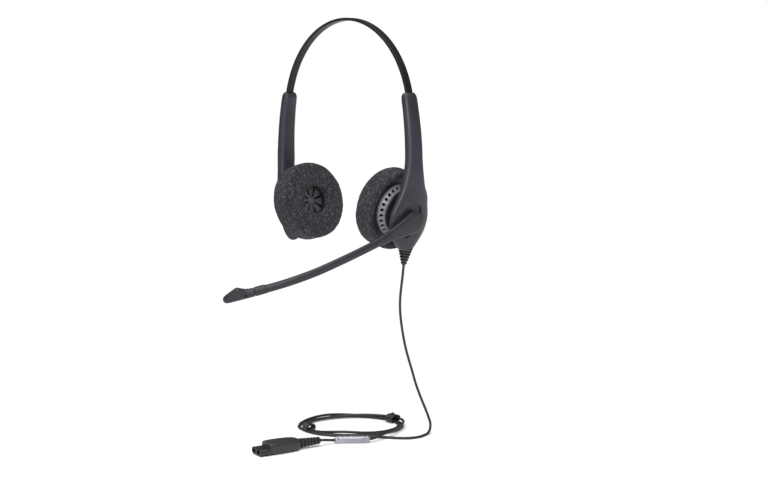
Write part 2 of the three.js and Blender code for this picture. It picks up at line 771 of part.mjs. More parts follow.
function makeCord() {
  const group = new THREE.Group();
  const rubber = () => plastic(BLACK, 0.6);
  group.add(part("cord_strain_relief", armReliefGeometry(), rubber()));
  group.add(part("cord_hanging", tube(route(HANGING_ROUTE), CORD_RADIUS, 50), rubber()));
  group.add(part("cord_coil", coilGeometry(), rubber()));
  const tail = route(TAIL_ROUTE);
  group.add(part("cord_tail", tube(tail, CORD_RADIUS, 16), rubber()));
  const covered = [];
  const stops = 7;
  for (let i = 0; i <= stops; i++) {
    covered.push(tail.getPointAt(LABEL.from + ((LABEL.to - LABEL.from) * i) / stops));
  }
  const sleeve = new THREE.CatmullRomCurve3(covered);
  const label = tube(sleeve, LABEL.outerRadius, stops, LABEL.innerRadius);
  group.add(part("cord_label", label, plastic(LABEL_SILVER, 0.4)));
  group.add(part("cord_tie_left", tieGeometry(TIE.leftAngle), rubber()));
  group.add(part("cord_tie_right", tieGeometry(TIE.rightAngle), rubber()));
  return group;
}

// The plug in its own frame: +X runs out of the mating face, and Z = 0 is the surface it lies on.
function placePlug(geometry) {
  return geometry.rotateZ(radians(PLUG.yaw)).translate(PLUG.x, PLUG.y, FLOOR);
}

function plugGrip(lower) {
  const outline = [[0, 4.6], [4, 6.2], [13, 7.4], [21, 7.7], [PLUG.gripLength, 7.5]];
  const { height, bevel } = GRIP;
  const shape = new THREE.Shape([
    ...outline.map(([x, y]) => new THREE.Vector2(x, -y)),
    ...outline.reverse().map(([x, y]) => new THREE.Vector2(x, y)),
  ]);
  const body = toSolid(new THREE.ExtrudeGeometry(shape, {
    depth: height - 2 * bevel,
    bevelThickness: bevel,
    bevelSize: bevel,
    bevelOffset: -bevel,
    bevelSegments: 1,
  }).translate(0, 0, bevel));
  const { hollowFrom, hollowTo, mouthTo, halfHollow } = GRIP;
  const { bottom, mouthTop, top } = GRIP_HEIGHTS;
  const well = toSolid(block([hollowFrom, -halfHollow, bottom], [hollowTo, halfHollow, top]));
  const mouth = toSolid(block([hollowTo - 1, -halfHollow, bottom], [mouthTo, halfHollow, mouthTop]));
  const neck = toSolid(rod(2.9, -2, 8, 16).rotateY(Math.PI / 2).translate(0, 0, PLUG.axisHeight));
  const split = PLUG.axisHeight;
  const keep = lower
    ? block([-5, -20, -5], [40, 20, split - GAP / 2])
    : block([-5, -20, split + GAP / 2], [40, 20, 20]);
  return toGeometry(cut(body, [well, mouth, neck]).intersect(toSolid(keep)));
}

function plugTongue() {
  const start = PLUG.gripLength + GAP;
  const end = PLUG.gripLength + PLUG.tongueLength;
  const { halfWidth, bottom, top } = TONGUE;
  const tongue = toSolid(block([start, -halfWidth, bottom], [end, halfWidth, top]));
  const { from, halfWidth: halfRoot, bottom: rootBottom, top: rootTop } = TONGUE_ROOT;
  const root = toSolid(block([from, -halfRoot, rootBottom], [start + 1, halfRoot, rootTop]));
  return toGeometry(cut(tongue.add(root), [plugSocket(-1, end), plugSocket(1, end)]));
}

function plugSocket(side, end) {
  const { from, apart, halfWidth, bottom, top } = SOCKETS;
  const y = (side * apart) / 2;
  return toSolid(block([from, y - halfWidth, bottom + 0.6], [end + 1, y + halfWidth, top]));
}

function plugContact(side) {
  const halfWidth = 1.2;
  const { from, apart, bottom } = SOCKETS;
  const y = (side * apart) / 2;
  const end = PLUG.gripLength + PLUG.tongueLength - 2;
  return block([from + 1, y - halfWidth, bottom + 0.9], [end, y + halfWidth, bottom + 1.4]);
}

// The relief behind the grip. Its root is held in the neck between the grip's shells.
function plugReliefGeometry() {
  const { top, radius } = PLUG_RELIEF;
  const root = [[0, 4], [2.5, 4], [2.5, top], [radius, top]];
  return turned([...root, ...reliefRibs(PLUG_RELIEF)], 12)
    .rotateY(Math.PI / 2)
    .translate(0, 0, PLUG.axisHeight);
}

function makePlug() {
  const group = new THREE.Group();
  group.add(part("plug_strain_relief", placePlug(plugReliefGeometry()), plastic(BLACK)));
  group.add(part("plug_lower_shell", placePlug(plugGrip(true)), plastic(CHARCOAL)));
  group.add(part("plug_upper_shell", placePlug(plugGrip(false)), plastic(CHARCOAL)));
  group.add(part("plug_contact_block", placePlug(plugTongue()), plastic(BLACK)));
  group.add(part("plug_contact_left", placePlug(plugContact(1)), metal(BRASS)));
  group.add(part("plug_contact_right", placePlug(plugContact(-1)), metal(BRASS)));
  return group;
}

// ---- assembly ------------------------------------------------------------------------------

function makeBoomSide() {
  const group = new THREE.Group();
  const round = toSolid(placeAtPivot(rod(POCKET.radius, -20, POCKET.floor, 32)));
  const notch = block([-POCKET.notch, -POCKET.notchLength, -20], [POCKET.notch, 0, POCKET.floor]);
  const pocket = round.add(toSolid(placeAtPivot(notch, 0)));
  const hubHole = toSolid(placeAtPivot(rod(BOOM.hubRadius + GAP, -20, 5, 24)));
  const floor = toSolid(placeAtPivot(rod(POCKET.radius + 1.4, -20, POCKET.floorBack, 32)));
  const outerTools = [pocket, hubHole];
  group.add(makeArmShells("boom_side", BOOM_ARM_STATIONS, BOOM_ARM_SCREWS, outerTools, [floor]));
  group.add(makeCup("boom_side"));
  group.add(part("terminal_board", boardGeometry(), plastic(BOARD_GREEN, 0.5)));
  return group;
}

function boardGeometry() {
  const { height, length, halfWidth, halfThickness } = BOARD;
  const x = armX(height);
  const low = [x - halfThickness, -halfWidth, height - length / 2];
  return block(low, [x + halfThickness, halfWidth, height + length / 2]);
}

function makePlainSide() {
  const group = new THREE.Group();
  group.add(makeArmShells("plain_side", PLAIN_ARM_STATIONS, PLAIN_ARM_SCREWS, [], []));
  group.add(makeCup("plain_side"));
  group.scale.x = -1;
  return group;
}

const headset = new THREE.Group();
headset.add(makeHeadband(), makeBoomSide(), makePlainSide(), makeBoom(), makeCord(), makePlug());

export default headset;
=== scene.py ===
"""A two-ear office headset with foam ear cushions, a microphone boom and a coiled cord.

The origin is the underside of the headband at its crown. +X points to the boom side, -Y to the
front of the head and +Z up. Sizes below are in millimetres and turned into metres when a mesh or
curve is made. Both arms are drawn on the boom side, and the plain side is mirrored in X = 0.
"""
import json
import math

import bmesh
import bpy
from mathutils import Matrix, Vector, noise


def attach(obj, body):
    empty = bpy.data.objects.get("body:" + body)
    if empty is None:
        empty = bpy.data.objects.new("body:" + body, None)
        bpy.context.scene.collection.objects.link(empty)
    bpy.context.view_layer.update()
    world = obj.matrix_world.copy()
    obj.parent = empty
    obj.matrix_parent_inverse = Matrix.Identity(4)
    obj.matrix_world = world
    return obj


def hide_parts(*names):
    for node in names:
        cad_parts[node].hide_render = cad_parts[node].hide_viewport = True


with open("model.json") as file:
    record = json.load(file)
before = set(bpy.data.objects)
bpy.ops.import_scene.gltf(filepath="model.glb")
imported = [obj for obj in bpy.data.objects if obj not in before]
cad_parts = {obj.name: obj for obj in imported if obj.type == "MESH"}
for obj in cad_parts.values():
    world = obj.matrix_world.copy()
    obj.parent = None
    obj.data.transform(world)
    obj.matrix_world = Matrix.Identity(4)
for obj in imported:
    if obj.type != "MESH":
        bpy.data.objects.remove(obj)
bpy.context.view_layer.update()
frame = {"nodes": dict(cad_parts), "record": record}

MM = 0.001
RECORD = frame["record"]
SLOT_OF = {row["node"]: row["material_slot"] for row in RECORD["subparts"]}
BODY_OF = {node: body for body, nodes in RECORD["behaviour"]["bodies"].items() for node in nodes}

# ---- driving dimensions, as in the frame ------------------------------------------------------

BAND = {"half_width": 3.3, "half_thick": 1.1, "reach": 70.4, "drop": 75, "straight_from": -67.9,
        "end": -100, "lean": 5, "wall": 0.5}
ARM_BOW = {"radius": 235, "height": -107, "reach": 73.4}
ARM_WALL = 1.0
BAND_SLOT = ((65.5, -3.8, -64.5), (70.8, 3.8, -50))
SEAM = 0.15

# Height, half thickness, half width and shift forward of each arm, from its top down.
ARM_TOP = [(-55.2, 1.6, 3.4, 0), (-55.5, 2.7, 4.9, 0), (-56.2, 3.4, 5.7, 0), (-58.5, 4.2, 6.7, 0),
           (-68, 4.3, 7.1, 0), (-81, 4.5, 7.4, -0.1), (-94, 4.6, 7.7, -0.2), (-107, 4.7, 8.1, -0.2)]
BOOM_ARM = ARM_TOP + [(-118, 4.8, 9.9, -0.1), (-128, 4.8, 12.6, 0), (-137, 4.8, 16.1, 0.6),
                      (-145, 4.7, 18.9, 1.4), (-152, 4.7, 19.1, 1.5), (-160, 4.8, 16.6, 1.4),
                      (-167, 5, 11.2, 1), (-172.4, 5, 5.6, 0.4)]
PLAIN_ARM = ARM_TOP + [(-118, 4.6, 8.2, 0), (-130, 4.7, 9.4, 0), (-143, 4.7, 10.6, 0),
                       (-154, 4.7, 10.4, 0), (-163, 4.7, 9, 0), (-169.5, 4.4, 7, 0),
                       (-173.5, 3.2, 4.4, 0), (-175, 1.5, 2, 0)]

CUP = {"tilt": 12.5, "height": -147.5, "stand_off": 12.2, "rear": 2.4}
SLOTS = {"count": 8, "turn": 29, "inner": 2.7, "outer": 12.4, "inner_half": 0.5, "outer_half": 1.15}
VENTS = {"count": 28, "ring": 18.9, "radius": 1.35}
BOOM = {"height": -150, "forward": 1.5, "tilt": 10.5, "droop": 21.5, "paddle": 8.6, "middle": -6.75}
POCKET = {"radius": 13.2, "close": 0.74, "floor": -2.6, "notch": 5.2, "notch_length": 34}
BOOM_LINE = [(0, 0, -6.75), (0.5, -23, -6.9), (0.6, -48, -5.4), (0.6, -73, -2.2), (0.6, -93, 1.6),
             (0.6, -113, 8.3), (0.6, -133, 18), (0.6, -156, 30.5)]

FLOOR = -320.8
CORD_RADIUS = 1.0
COIL = {"x": -1.4, "y": 6.7, "turn": 47, "inner": 33.4, "outer": 42, "flatness": 0.82}
PLUG = {"x": 22.4, "y": -71.3, "yaw": -102.5, "axis": 4.5, "grip": 26, "tongue": 8.5}

# Angles round the coil, in degrees, where its turns lie close together.
HELD_AT = (31, 219)

# Name, node, angle round the coil, turns, radius of the tie's wire, half its width and half its height.
TIES = [("cord_tie_ridged", "cord_tie_right", 31, 5, 0.8, 4.6, 2.6),
        ("cord_tie_smooth", "cord_tie_left", 205, 3, 1.0, 4.0, 2.2)]

# The place is in metres, and the two angles are in degrees.
CAMERA = {"place": (0.8264, -0.7586, -0.0505), "down": 5.28, "turn": 45.97, "lens": 67.458, "shift": -0.025}

HANGING_ROUTE = [
    (62.6, 0.4, -184.4), (61.6, 0.1, -194), (60.1, 0.1, -203), (58.6, 0.6, -212),
    (57.4, 1.9, -221), (56.6, 3.9, -230), (56, 6.4, -239.5), (55.5, 9.4, -249),
    (55.4, 13, -259), (55.3, 17.2, -269.5), (55.1, 21.4, -280), (55.3, 26, -290),
    (55.7, 30.4, -299), (56, 34.2, -307), (56.2, 36.4, -313.2), (56.8, 35.2, -317.6),
    (58.4, 31, -319.6), (60.4, 25, -319.8), (61.2, 18.6, -319.8), (59.8, 12.4, -319.8),
    (56, 7.2, -319.8), (50.6, 3, -319.8), (43.9, -1.4, -319.8), (37.1, -6, -319.8),
    (31.6, -10.4, -319.8),
]
TAIL_ROUTE = [
    (39.1, 14.8, -317.2), (41.5, 7.1, -317), (43.8, -0.7, -316.9), (45.4, -8.1, -317.1),
    (46, -14.9, -317.8), (44.1, -20.6, -318.3), (39.8, -26.1, -318.4), (34.4, -31.8, -318.4),
    (30.4, -37.1, -318.3), (28.4, -42.7, -317.7), (27.5, -47.7, -316.9), (26.8, -51.2, -316.5),
]
TURNS = 3
POINTS_PER_TURN = 48


# ---- mesh helpers -----------------------------------------------------------------------------

def smoothed(points, steps):
    """A centripetal Catmull-Rom curve through points, with that many steps between two of them."""
    line = [Vector(point) for point in points]
    line = [2 * line[0] - line[1]] + line + [2 * line[-1] - line[-2]]
    out = []
    for i in range(1, len(line) - 2):
        p0, p1, p2, p3 = line[i - 1:i + 3]
        t1 = max((p1 - p0).length, 1e-6) ** 0.5
        t2 = t1 + max((p2 - p1).length, 1e-6) ** 0.5
        t3 = t2 + max((p3 - p2).length, 1e-6) ** 0.5
        for step in range(steps):
            t = t1 + (t2 - t1) * step / steps
            a1 = p0 * ((t1 - t) / t1) + p1 * (t / t1)
            a2 = p1 * ((t2 - t) / (t2 - t1)) + p2 * ((t - t1) / (t2 - t1))
            a3 = p2 * ((t3 - t) / (t3 - t2)) + p3 * ((t - t2) / (t3 - t2))
            b1 = a1 * ((t2 - t) / t2) + a2 * (t / t2)
            b2 = a2 * ((t3 - t) / (t3 - t1)) + a3 * ((t - t1) / (t3 - t1))
            out.append(b1 * ((t2 - t) / (t2 - t1)) + b2 * ((t - t1) / (t2 - t1)))
    return out + [line[-2]]


def filleted(corners, steps=4, closed=True):
    """An outline whose corners, given as (x, y, radius), are rounded."""
    out = []
    count = len(corners)
    for i, (x, y, radius) in enumerate(corners):
        here = Vector((x, y))
        if radius <= 0 or (not closed and i in (0, count - 1)):
            out.append(here)
            continue
        before = Vector(corners[i - 1][:2]) - here
        after = Vector(corners[(i + 1) % count][:2]) - here
        half = before.angle(after) / 2
        reach = min(radius / math.tan(half), before.length * 0.49, after.length * 0.49)
        start, end = here + before.normalized() * reach, here + after.normalized() * reach
        for step in range(steps + 1):
            t = step / steps
            out.append(start * (1 - t) ** 2 + here * 2 * t * (1 - t) + end * t ** 2)
    return out


def add_mesh(name, points, faces, matrix=Matrix(), sharp=32):
    """A mesh object from points in millimetres, with smooth faces and sharp edges by angle."""
    mesh = bpy.data.meshes.new(name)
    mesh.from_pydata([matrix @ Vector(point) * MM for point in points], [], faces)
    form = bmesh.new()
    form.from_mesh(mesh)
    bmesh.ops.remove_doubles(form, verts=form.verts, dist=1e-7)
    bmesh.ops.recalc_face_normals(form, faces=form.faces)
    form.to_mesh(mesh)
    form.free()
    finish_shading(mesh, sharp)
    piece = bpy.data.objects.new(name, mesh)
    bpy.context.scene.collection.objects.link(piece)
    return piece


def finish_shading(mesh, sharp=32):
    """Smooth faces, with sharp edges where the surface turns by more than an angle in degrees."""
    for face in mesh.polygons:
        face.use_smooth = True
    mesh.set_sharp_from_angle(angle=math.radians(sharp))


def ring_faces(rings, sides, closed_rings=False):
    """Faces between rings of points, with a cap on each end unless the last ring meets the first."""
    faces = []
    for i in range(rings if closed_rings else rings - 1):
        for j in range(sides):
            a, b = i * sides, ((i + 1) % rings) * sides
            faces.append((a + j, a + (j + 1) % sides, b + (j + 1) % sides, b + j))
    if not closed_rings:
        faces.append(tuple(range(sides)))
        faces.append(tuple(range((rings - 1) * sides, rings * sides)))
    return faces


def add_turned(name, outline, matrix=Matrix(), segments=96, sharp=32, solid=True):
    """A solid of revolution about Z from an outline of (radius, height). An outline that isn't
    solid on the axis is a closed loop."""
    points = []
    for radius, height in outline:
        for j in range(segments):
            angle = 2 * math.pi * j / segments
            points.append((radius * math.cos(angle), radius * math.sin(angle), height))
    return add_mesh(name, points, ring_faces(len(outline), segments, closed_rings=not solid), matrix, sharp)


def add_loft(name, rings, matrix=Matrix(), closed_rings=False):
    """A solid through rings of points that all have the same number of points."""
    points = [point for ring in rings for point in ring]
    return add_mesh(name, points, ring_faces(len(rings), len(rings[0]), closed_rings), matrix)


def add_block(name, low, high, matrix=Matrix(), radius=0.0):
    """A box between two corners, with its edges rounded."""
    (x0, y0, z0), (x1, y1, z1) = low, high
    corners = [(x, y, z) for z in (z0, z1) for x, y in ((x0, y0), (x1, y0), (x1, y1), (x0, y1))]
    faces = [(3, 2, 1, 0), (4, 5, 6, 7)] + [(i, (i + 1) % 4, (i + 1) % 4 + 4, i + 4) for i in range(4)]
    piece = add_mesh(name, corners, faces, matrix)
    if radius > 0:
        bevel(piece, radius)
    return piece


def apply_modifiers(piece):
    """Makes what a piece's modifiers show its own mesh."""
    graph = bpy.context.evaluated_depsgraph_get()
    mesh = bpy.data.meshes.new_from_object(piece.evaluated_get(graph))
    piece.modifiers.clear()
    piece.data = mesh
    finish_shading(mesh)


def bevel(piece, width):
    """Rounds a piece's sharp edges."""
    modifier = piece.modifiers.new("bevel", "BEVEL")
    modifier.width = width * MM
    modifier.segments = 3
    modifier.limit_method = "ANGLE"
    modifier.angle_limit = math.radians(40)
    modifier.use_clamp_overlap = True
    apply_modifiers(piece)


def carve(piece, *tools):
    """Cuts each tool from a piece and deletes the tool."""
    for tool in tools:
        modifier = piece.modifiers.new("carve", "BOOLEAN")
        modifier.object = tool
        modifier.operation = "DIFFERENCE"
        modifier.solver = "MANIFOLD"
        apply_modifiers(piece)
        bpy.data.objects.remove(tool)


def join(name, pieces):
    """One object from several."""
    form = bmesh.new()
    for piece in pieces:
        form.from_mesh(piece.data)
    mesh = bpy.data.meshes.new(name)
    form.to_mesh(mesh)
    form.free()
    for piece in pieces:
        bpy.data.objects.remove(piece)
    finish_shading(mesh)
    joined = bpy.data.objects.new(name, mesh)
    bpy.context.scene.collection.objects.link(joined)
    return joined


def dress(piece, body, slot):
    """Puts a piece on its body and gives it the finish of a slot."""
    piece.data.materials.clear()
    piece.data.materials.append(SLOT_MATERIALS[slot])
    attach(piece, body)
    return piece


def stand_in(piece, *nodes, slot=None):
    """Puts a piece in place of nodes, on their body and with the finish of the first or of a slot."""
    dress(piece, BODY_OF[nodes[0]], slot or SLOT_OF[nodes[0]])
    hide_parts(*nodes)
    return piece


def superellipse(half_u, half_v, squareness, sides, start=0.0, end=2 * math.pi, closed=True):
    """Points (u, v) on a rounded section."""
    out = []
    for i in range(sides if closed else sides + 1):
        angle = start + (end - start) * i / sides
        c, s = math.cos(angle), math.sin(angle)
        power = 2 / squareness
        out.append((half_u * math.copysign(abs(c) ** power, c),
                    half_v * math.copysign(abs(s) ** power, s)))
    return out


def table_at(rows, value):
    """A row interpolated smoothly from rows whose first column falls or rises steadily."""
    rising = rows[-1][0] > rows[0][0]
    for i in range(len(rows) - 1):
        low, high = rows[i], rows[i + 1]
        inside = low[0] <= value <= high[0] if rising else high[0] <= value <= low[0]
        if inside or i == len(rows) - 2:
            before = rows[max(i - 1, 0)]
            after = rows[min(i + 2, len(rows) - 1)]
            span = high[0] - low[0]
            t = min(max((value - low[0]) / span, 0), 1)
            out = []
            for k in range(1, len(low)):
                start = (high[k] - before[k]) / (high[0] - before[0]) * span
                end = (after[k] - low[k]) / (after[0] - low[0]) * span
                out.append((2 * t ** 3 - 3 * t ** 2 + 1) * low[k] + (t ** 3 - 2 * t ** 2 + t) * start
                           + (3 * t ** 2 - 2 * t ** 3) * high[k] + (t ** 3 - t ** 2) * end)
            return out


# ---- materials --------------------------------------------------------------------------------

class Nodes:
    """Short calls for building a procedural material."""

    def __init__(self, name):
        self.material = bpy.data.materials.new(name)
        self.material.use_nodes = True
        self.tree = self.material.node_tree
        self.shader = self.tree.nodes["Principled BSDF"]
        self.place = self.add("ShaderNodeTexCoord").outputs["Object"]

    def add(self, kind, **values):
        """A node with some of its settings and inputs given by name."""
        node = self.tree.nodes.new(kind)
        for key, value in values.items():
            if hasattr(node, key):
                setattr(node, key, value)
            else:
                node.inputs[key.replace("_", " ")].default_value = value
        return node

    def link(self, source, target):
        self.tree.links.new(source, target)

    def noise(self, scale, detail=3.0, roughness=0.5, stretch=(1, 1, 1)):
        mapping = self.add("ShaderNodeMapping", Scale=stretch)
        self.link(self.place, mapping.inputs["Vector"])
        node = self.add("ShaderNodeTexNoise", Scale=scale, Detail=detail, Roughness=roughness)
        self.link(mapping.outputs["Vector"], node.inputs["Vector"])
        return node.outputs["Fac"]

    def ramp(self, source, low, high, start=0.35, end=0.65):
        """source turned into a colour between low and high."""
        node = self.add("ShaderNodeValToRGB")
        node.color_ramp.elements[0].position = start
        node.color_ramp.elements[1].position = end
        node.color_ramp.elements[0].color = (*low, 1)
        node.color_ramp.elements[1].color = (*high, 1)
        self.link(source, node.inputs["Fac"])
        return node.outputs["Color"]

    def scaled(self, source, low, high):
        """source from 0 to 1 turned into a number between low and high."""
        node = self.add("ShaderNodeMapRange", To_Min=low, To_Max=high)
        self.link(source, node.inputs["Value"])
        return node.outputs["Result"]

    def mixed(self, factor, first, second, blend="MIX"):
        """first blended with second, which is a link or a plain colour."""
        node = self.add("ShaderNodeMix", data_type="RGBA", blend_type=blend)
        if isinstance(factor, float):
            node.inputs["Factor"].default_value = factor
        else:
            self.link(factor, node.inputs["Factor"])
        self.link(first, node.inputs["A"])
        if isinstance(second, tuple):
            node.inputs["B"].default_value = (*second, 1)
        else:
            self.link(second, node.inputs["B"])
        return node.outputs["Result"]

    def worn_edges(self, colour, lighter, amount=0.6):
        """colour with lighter edges, where handling has polished them."""
        geometry = self.add("ShaderNodeNewGeometry")
        edge = self.ramp(geometry.outputs["Pointiness"], (0, 0, 0), (amount,) * 3, 0.52, 0.62)
        return self.mixed(edge, colour, lighter)

    def bump(self, source, strength, distance, under=None):
        node = self.add("ShaderNodeBump", Strength=strength, Distance=distance)
        self.link(source, node.inputs["Height"])
        if under is not None:
            self.link(under, node.inputs["Normal"])
        return node.outputs["Normal"]

    def finish(self, colour, roughness, normal=None, metallic=0.0, coat=0.0, specular=0.5):
        self.link(colour, self.shader.inputs["Base Color"])
        self.link(roughness, self.shader.inputs["Roughness"])
        if normal is not None:
            self.link(normal, self.shader.inputs["Normal"])
        self.shader.inputs["Metallic"].default_value = metallic
        self.shader.inputs["Coat Weight"].default_value = coat
        self.shader.inputs["Specular IOR Level"].default_value = specular
        return self.material


def tinted(colour, factor):
    """A colour made lighter or darker by a factor."""
    return tuple(min(1.0, channel * factor) for channel in colour)


def moulded(name, colour, roughness, grain=0.00035, depth=0.00003, edges=1.8, specular=0.5, coat=0.0):
    """Moulded plastic: a slow shift of colour, a fine grain and lighter edges."""
    build = Nodes(name)
    slow = build.noise(60, 2)
    fine = build.noise(1 / grain, 3, 0.6)
    base = build.ramp(slow, tinted(colour, 0.88), tinted(colour, 1.14))
    speckle = build.ramp(fine, (0.86, 0.86, 0.86), (1.1, 1.1, 1.12), 0.3, 0.7)
    base = build.mixed(1.0, base, speckle, "MULTIPLY")
    base = build.worn_edges(base, tinted(colour, edges), 0.5)
    rough = build.scaled(fine, roughness - 0.07, roughness + 0.09)
    normal = build.bump(slow, 0.15, 0.0002, build.bump(fine, 0.55, depth))
    return build.finish(base, rough, normal, coat=coat, specular=specular)


def foam(name, colour):
    """Open-cell foam: painted shade in its small cells, painted light on the struts between them, and a few
    cells painted bright as glints.
    """
    build = Nodes(name)
    cells = build.add("ShaderNodeTexVoronoi", feature="DISTANCE_TO_EDGE", Scale=1 / 0.0011)
    warp = build.add("ShaderNodeTexNoise", Scale=700)
    build.link(build.place, warp.inputs["Vector"])
    shifted = build.add("ShaderNodeVectorMath", operation="MULTIPLY_ADD")
    build.link(warp.outputs["Color"], shifted.inputs[0])
    shifted.inputs[1].default_value = (0.0009,) * 3
    build.link(build.place, shifted.inputs[2])
    build.link(shifted.outputs["Vector"], cells.inputs["Vector"])
    # Painted shade and light: the middle of each cell is darkened as if it were in shade, and the struts
    # along the cell edges are lightened as if they were lit.
    cell_shade_strut_light = build.ramp(cells.outputs["Distance"], tinted(colour, 1.5), tinted(colour, 0.5), 0.0, 0.28)
    # Painted glints: a few random cells are painted much lighter and stand for struts that catch the light.
    glint_cells = build.add("ShaderNodeTexVoronoi", feature="F1", Scale=1 / 0.0008)
    build.link(shifted.outputs["Vector"], glint_cells.inputs["Vector"])
    painted_glints = build.ramp(glint_cells.outputs["Color"], (0, 0, 0), (1, 1, 1), 0.62, 0.94)
    grain = build.noise(1500, 4, 0.75)
    patch = build.noise(160, 3, 0.6)
    base = build.mixed(painted_glints, cell_shade_strut_light, tinted(colour, 6.5))
    base = build.mixed(1.0, base, build.ramp(grain, (0.6,) * 3, (1.4, 1.4, 1.45), 0.38, 0.66), "MULTIPLY")
    base = build.mixed(1.0, base, build.ramp(patch, (0.8,) * 3, (1.15,) * 3), "MULTIPLY")
    normal = build.bump(cells.outputs["Distance"], 0.8, 0.0005, build.bump(grain, 0.9, 0.0006))
    build.shader.inputs["Sheen Weight"].default_value = 0.05
    build.shader.inputs["Sheen Roughness"].default_value = 0.6
    return build.finish(base, build.scaled(grain, 0.86, 1.0), normal, specular=0.25)


def rubber(name, colour):
    """A satin cable jacket with a fine grain and handling smudges."""
    build = Nodes(name)
    smudge = build.noise(90, 4, 0.6)
    fine = build.noise(2600, 2)
    base = build.ramp(smudge, tinted(colour, 0.8), tinted(colour, 1.3), 0.3, 0.7)
    return build.finish(base, build.scaled(smudge, 0.42, 0.62), build.bump(fine, 0.35, 0.00003))


def metal(name, colour, roughness=0.3):
    """Drawn or plated metal with fine scratches in one direction."""
    build = Nodes(name)
    scratch = build.noise(500, 4, 0.7, stretch=(1, 1, 22))
    slow = build.noise(120, 2)
    base = build.ramp(slow, tinted(colour, 0.85), tinted(colour, 1.1))
    rough = build.scaled(scratch, roughness - 0.1, roughness + 0.15)
    return build.finish(base, rough, build.bump(scratch, 0.3, 0.00002), metallic=1.0)


def acoustic_cloth(name, colour):
    """A fine woven cloth, from two crossed waves."""
    build = Nodes(name)
    waves = []
    for axis in ("Y", "Z"):
        wave = build.add("ShaderNodeTexWave", bands_direction=axis, Scale=520, Distortion=0.4)
        build.link(build.place, wave.inputs["Vector"])
        waves.append(wave.outputs["Fac"])
    weave = build.add("ShaderNodeMath", operation="MULTIPLY")
    build.link(waves[0], weave.inputs[0])
    build.link(waves[1], weave.inputs[1])
    base = build.ramp(weave.outputs["Value"], tinted(colour, 0.4), tinted(colour, 2.0), 0.2, 0.8)
    return build.finish(base, build.scaled(weave.outputs["Value"], 0.8, 0.95),
                        build.bump(weave.outputs["Value"], 0.6, 0.0001), specular=0.1)


def silver_film(name, colour):
    """A thin silvery film with soft creases and smears."""
    build = Nodes(name)
    crease = build.noise(260, 3, 0.6, stretch=(1, 1, 0.5))
    smear = build.noise(60, 2)
    base = build.ramp(smear, tinted(colour, 0.72), tinted(colour, 1.15), 0.3, 0.7)
    rough = build.scaled(crease, 0.22, 0.45)
    return build.finish(base, rough, build.bump(crease, 0.5, 0.0004), metallic=0.35, coat=0.3)


def circuit_board(name):
    """Green solder mask with paler lines for its tracks."""
    build = Nodes(name)
    tracks = build.add("ShaderNodeTexBrick", Scale=300, Color1=(0.01, 0.09, 0.035, 1),
                       Color2=(0.012, 0.11, 0.045, 1), Mortar=(0.05, 0.24, 0.1, 1))
    build.link(build.place, tracks.inputs["Vector"])
    slow = build.noise(400, 2)
    return build.finish(tracks.outputs["Color"], build.scaled(slow, 0.3, 0.5), coat=0.2)


SLOT_MATERIALS = {
    "arm_plastic": moulded("arm plastic", (0.03, 0.03, 0.04), 0.36, edges=1.8, specular=0.32),
    "band_plastic": moulded("band plastic", (0.012, 0.012, 0.013), 0.36, grain=0.0006, depth=0.00001,
                            specular=0.22),
    "boom_plastic": moulded("boom plastic", (0.026, 0.0265, 0.031), 0.36, edges=1.5, specular=0.25),
    "plug_plastic": moulded("plug plastic", (0.022, 0.022, 0.023), 0.5, grain=0.0004, depth=0.00005),
    "black_plastic": moulded("black plastic", (0.012, 0.012, 0.013), 0.4),
    "grille_plastic": moulded("grille plastic", (0.065, 0.066, 0.073), 0.5),
    "capsule_plastic": moulded("capsule plastic", (0.2, 0.205, 0.22), 0.35, edges=1.4),
    "bush_plastic": moulded("bush plastic", (0.6, 0.6, 0.57), 0.3, edges=1.1),
    "cushion_foam": foam("cushion foam", (0.018, 0.018, 0.0215)),
    "mesh_cloth": acoustic_cloth("mesh cloth", (0.003, 0.003, 0.0035)),
    "diaphragm_film": moulded("diaphragm film", (0.45, 0.45, 0.42), 0.25, grain=0.0008, depth=0.00001),
    "cord_rubber": rubber("cord rubber", (0.014, 0.014, 0.015)),
    "label_film": silver_film("label film", (0.32, 0.32, 0.38)),
    "spring_steel": metal("spring steel", (0.5, 0.5, 0.52)),
    "screw_steel": metal("screw steel", (0.38, 0.38, 0.4), 0.35),
    "magnet_steel": metal("magnet steel", (0.52, 0.52, 0.55), 0.25),
    "contact_brass": metal("contact brass", (0.68, 0.47, 0.18), 0.28),
    "circuit_board": circuit_board("board green"),
}


def paint_frame():
    """Gives every node of the frame the material of its slot."""
    for name, slot in SLOT_OF.items():
        node = frame["nodes"][name]
        node.data.materials.clear()
        node.data.materials.append(SLOT_MATERIALS[slot])


# ---- camera and cord --------------------------------------------------------------------------

def make_camera():
    """Looks at the headset from in front of the boom side, level with the arms and a little down."""
    camera = bpy.data.objects.new("camera", bpy.data.cameras.new("camera"))
    bpy.context.scene.collection.objects.link(camera)
    camera.location = CAMERA["place"]
    camera.rotation_euler = (math.radians(90 - CAMERA["down"]), 0, math.radians(CAMERA["turn"]))
    camera.data.sensor_width = 36
    camera.data.lens = CAMERA["lens"]
    camera.data.shift_y = CAMERA["shift"]
    camera.data.clip_end = 20
    bpy.context.scene.camera = camera


def coil_matrix():
    """The coil's own frame on the floor, whose +X is the coil's long axis."""
    turn = Matrix.Rotation(math.radians(COIL["turn"]), 4, "Z")
    return Matrix.Translation((COIL["x"], COIL["y"], FLOOR)) @ turn


def near(angle, centre, width):
    """1 at an angle in degrees and falling to 0 on both sides of it."""
    apart = (angle - centre + 180) % 360 - 180
    return math.exp(-(apart / width) ** 2)


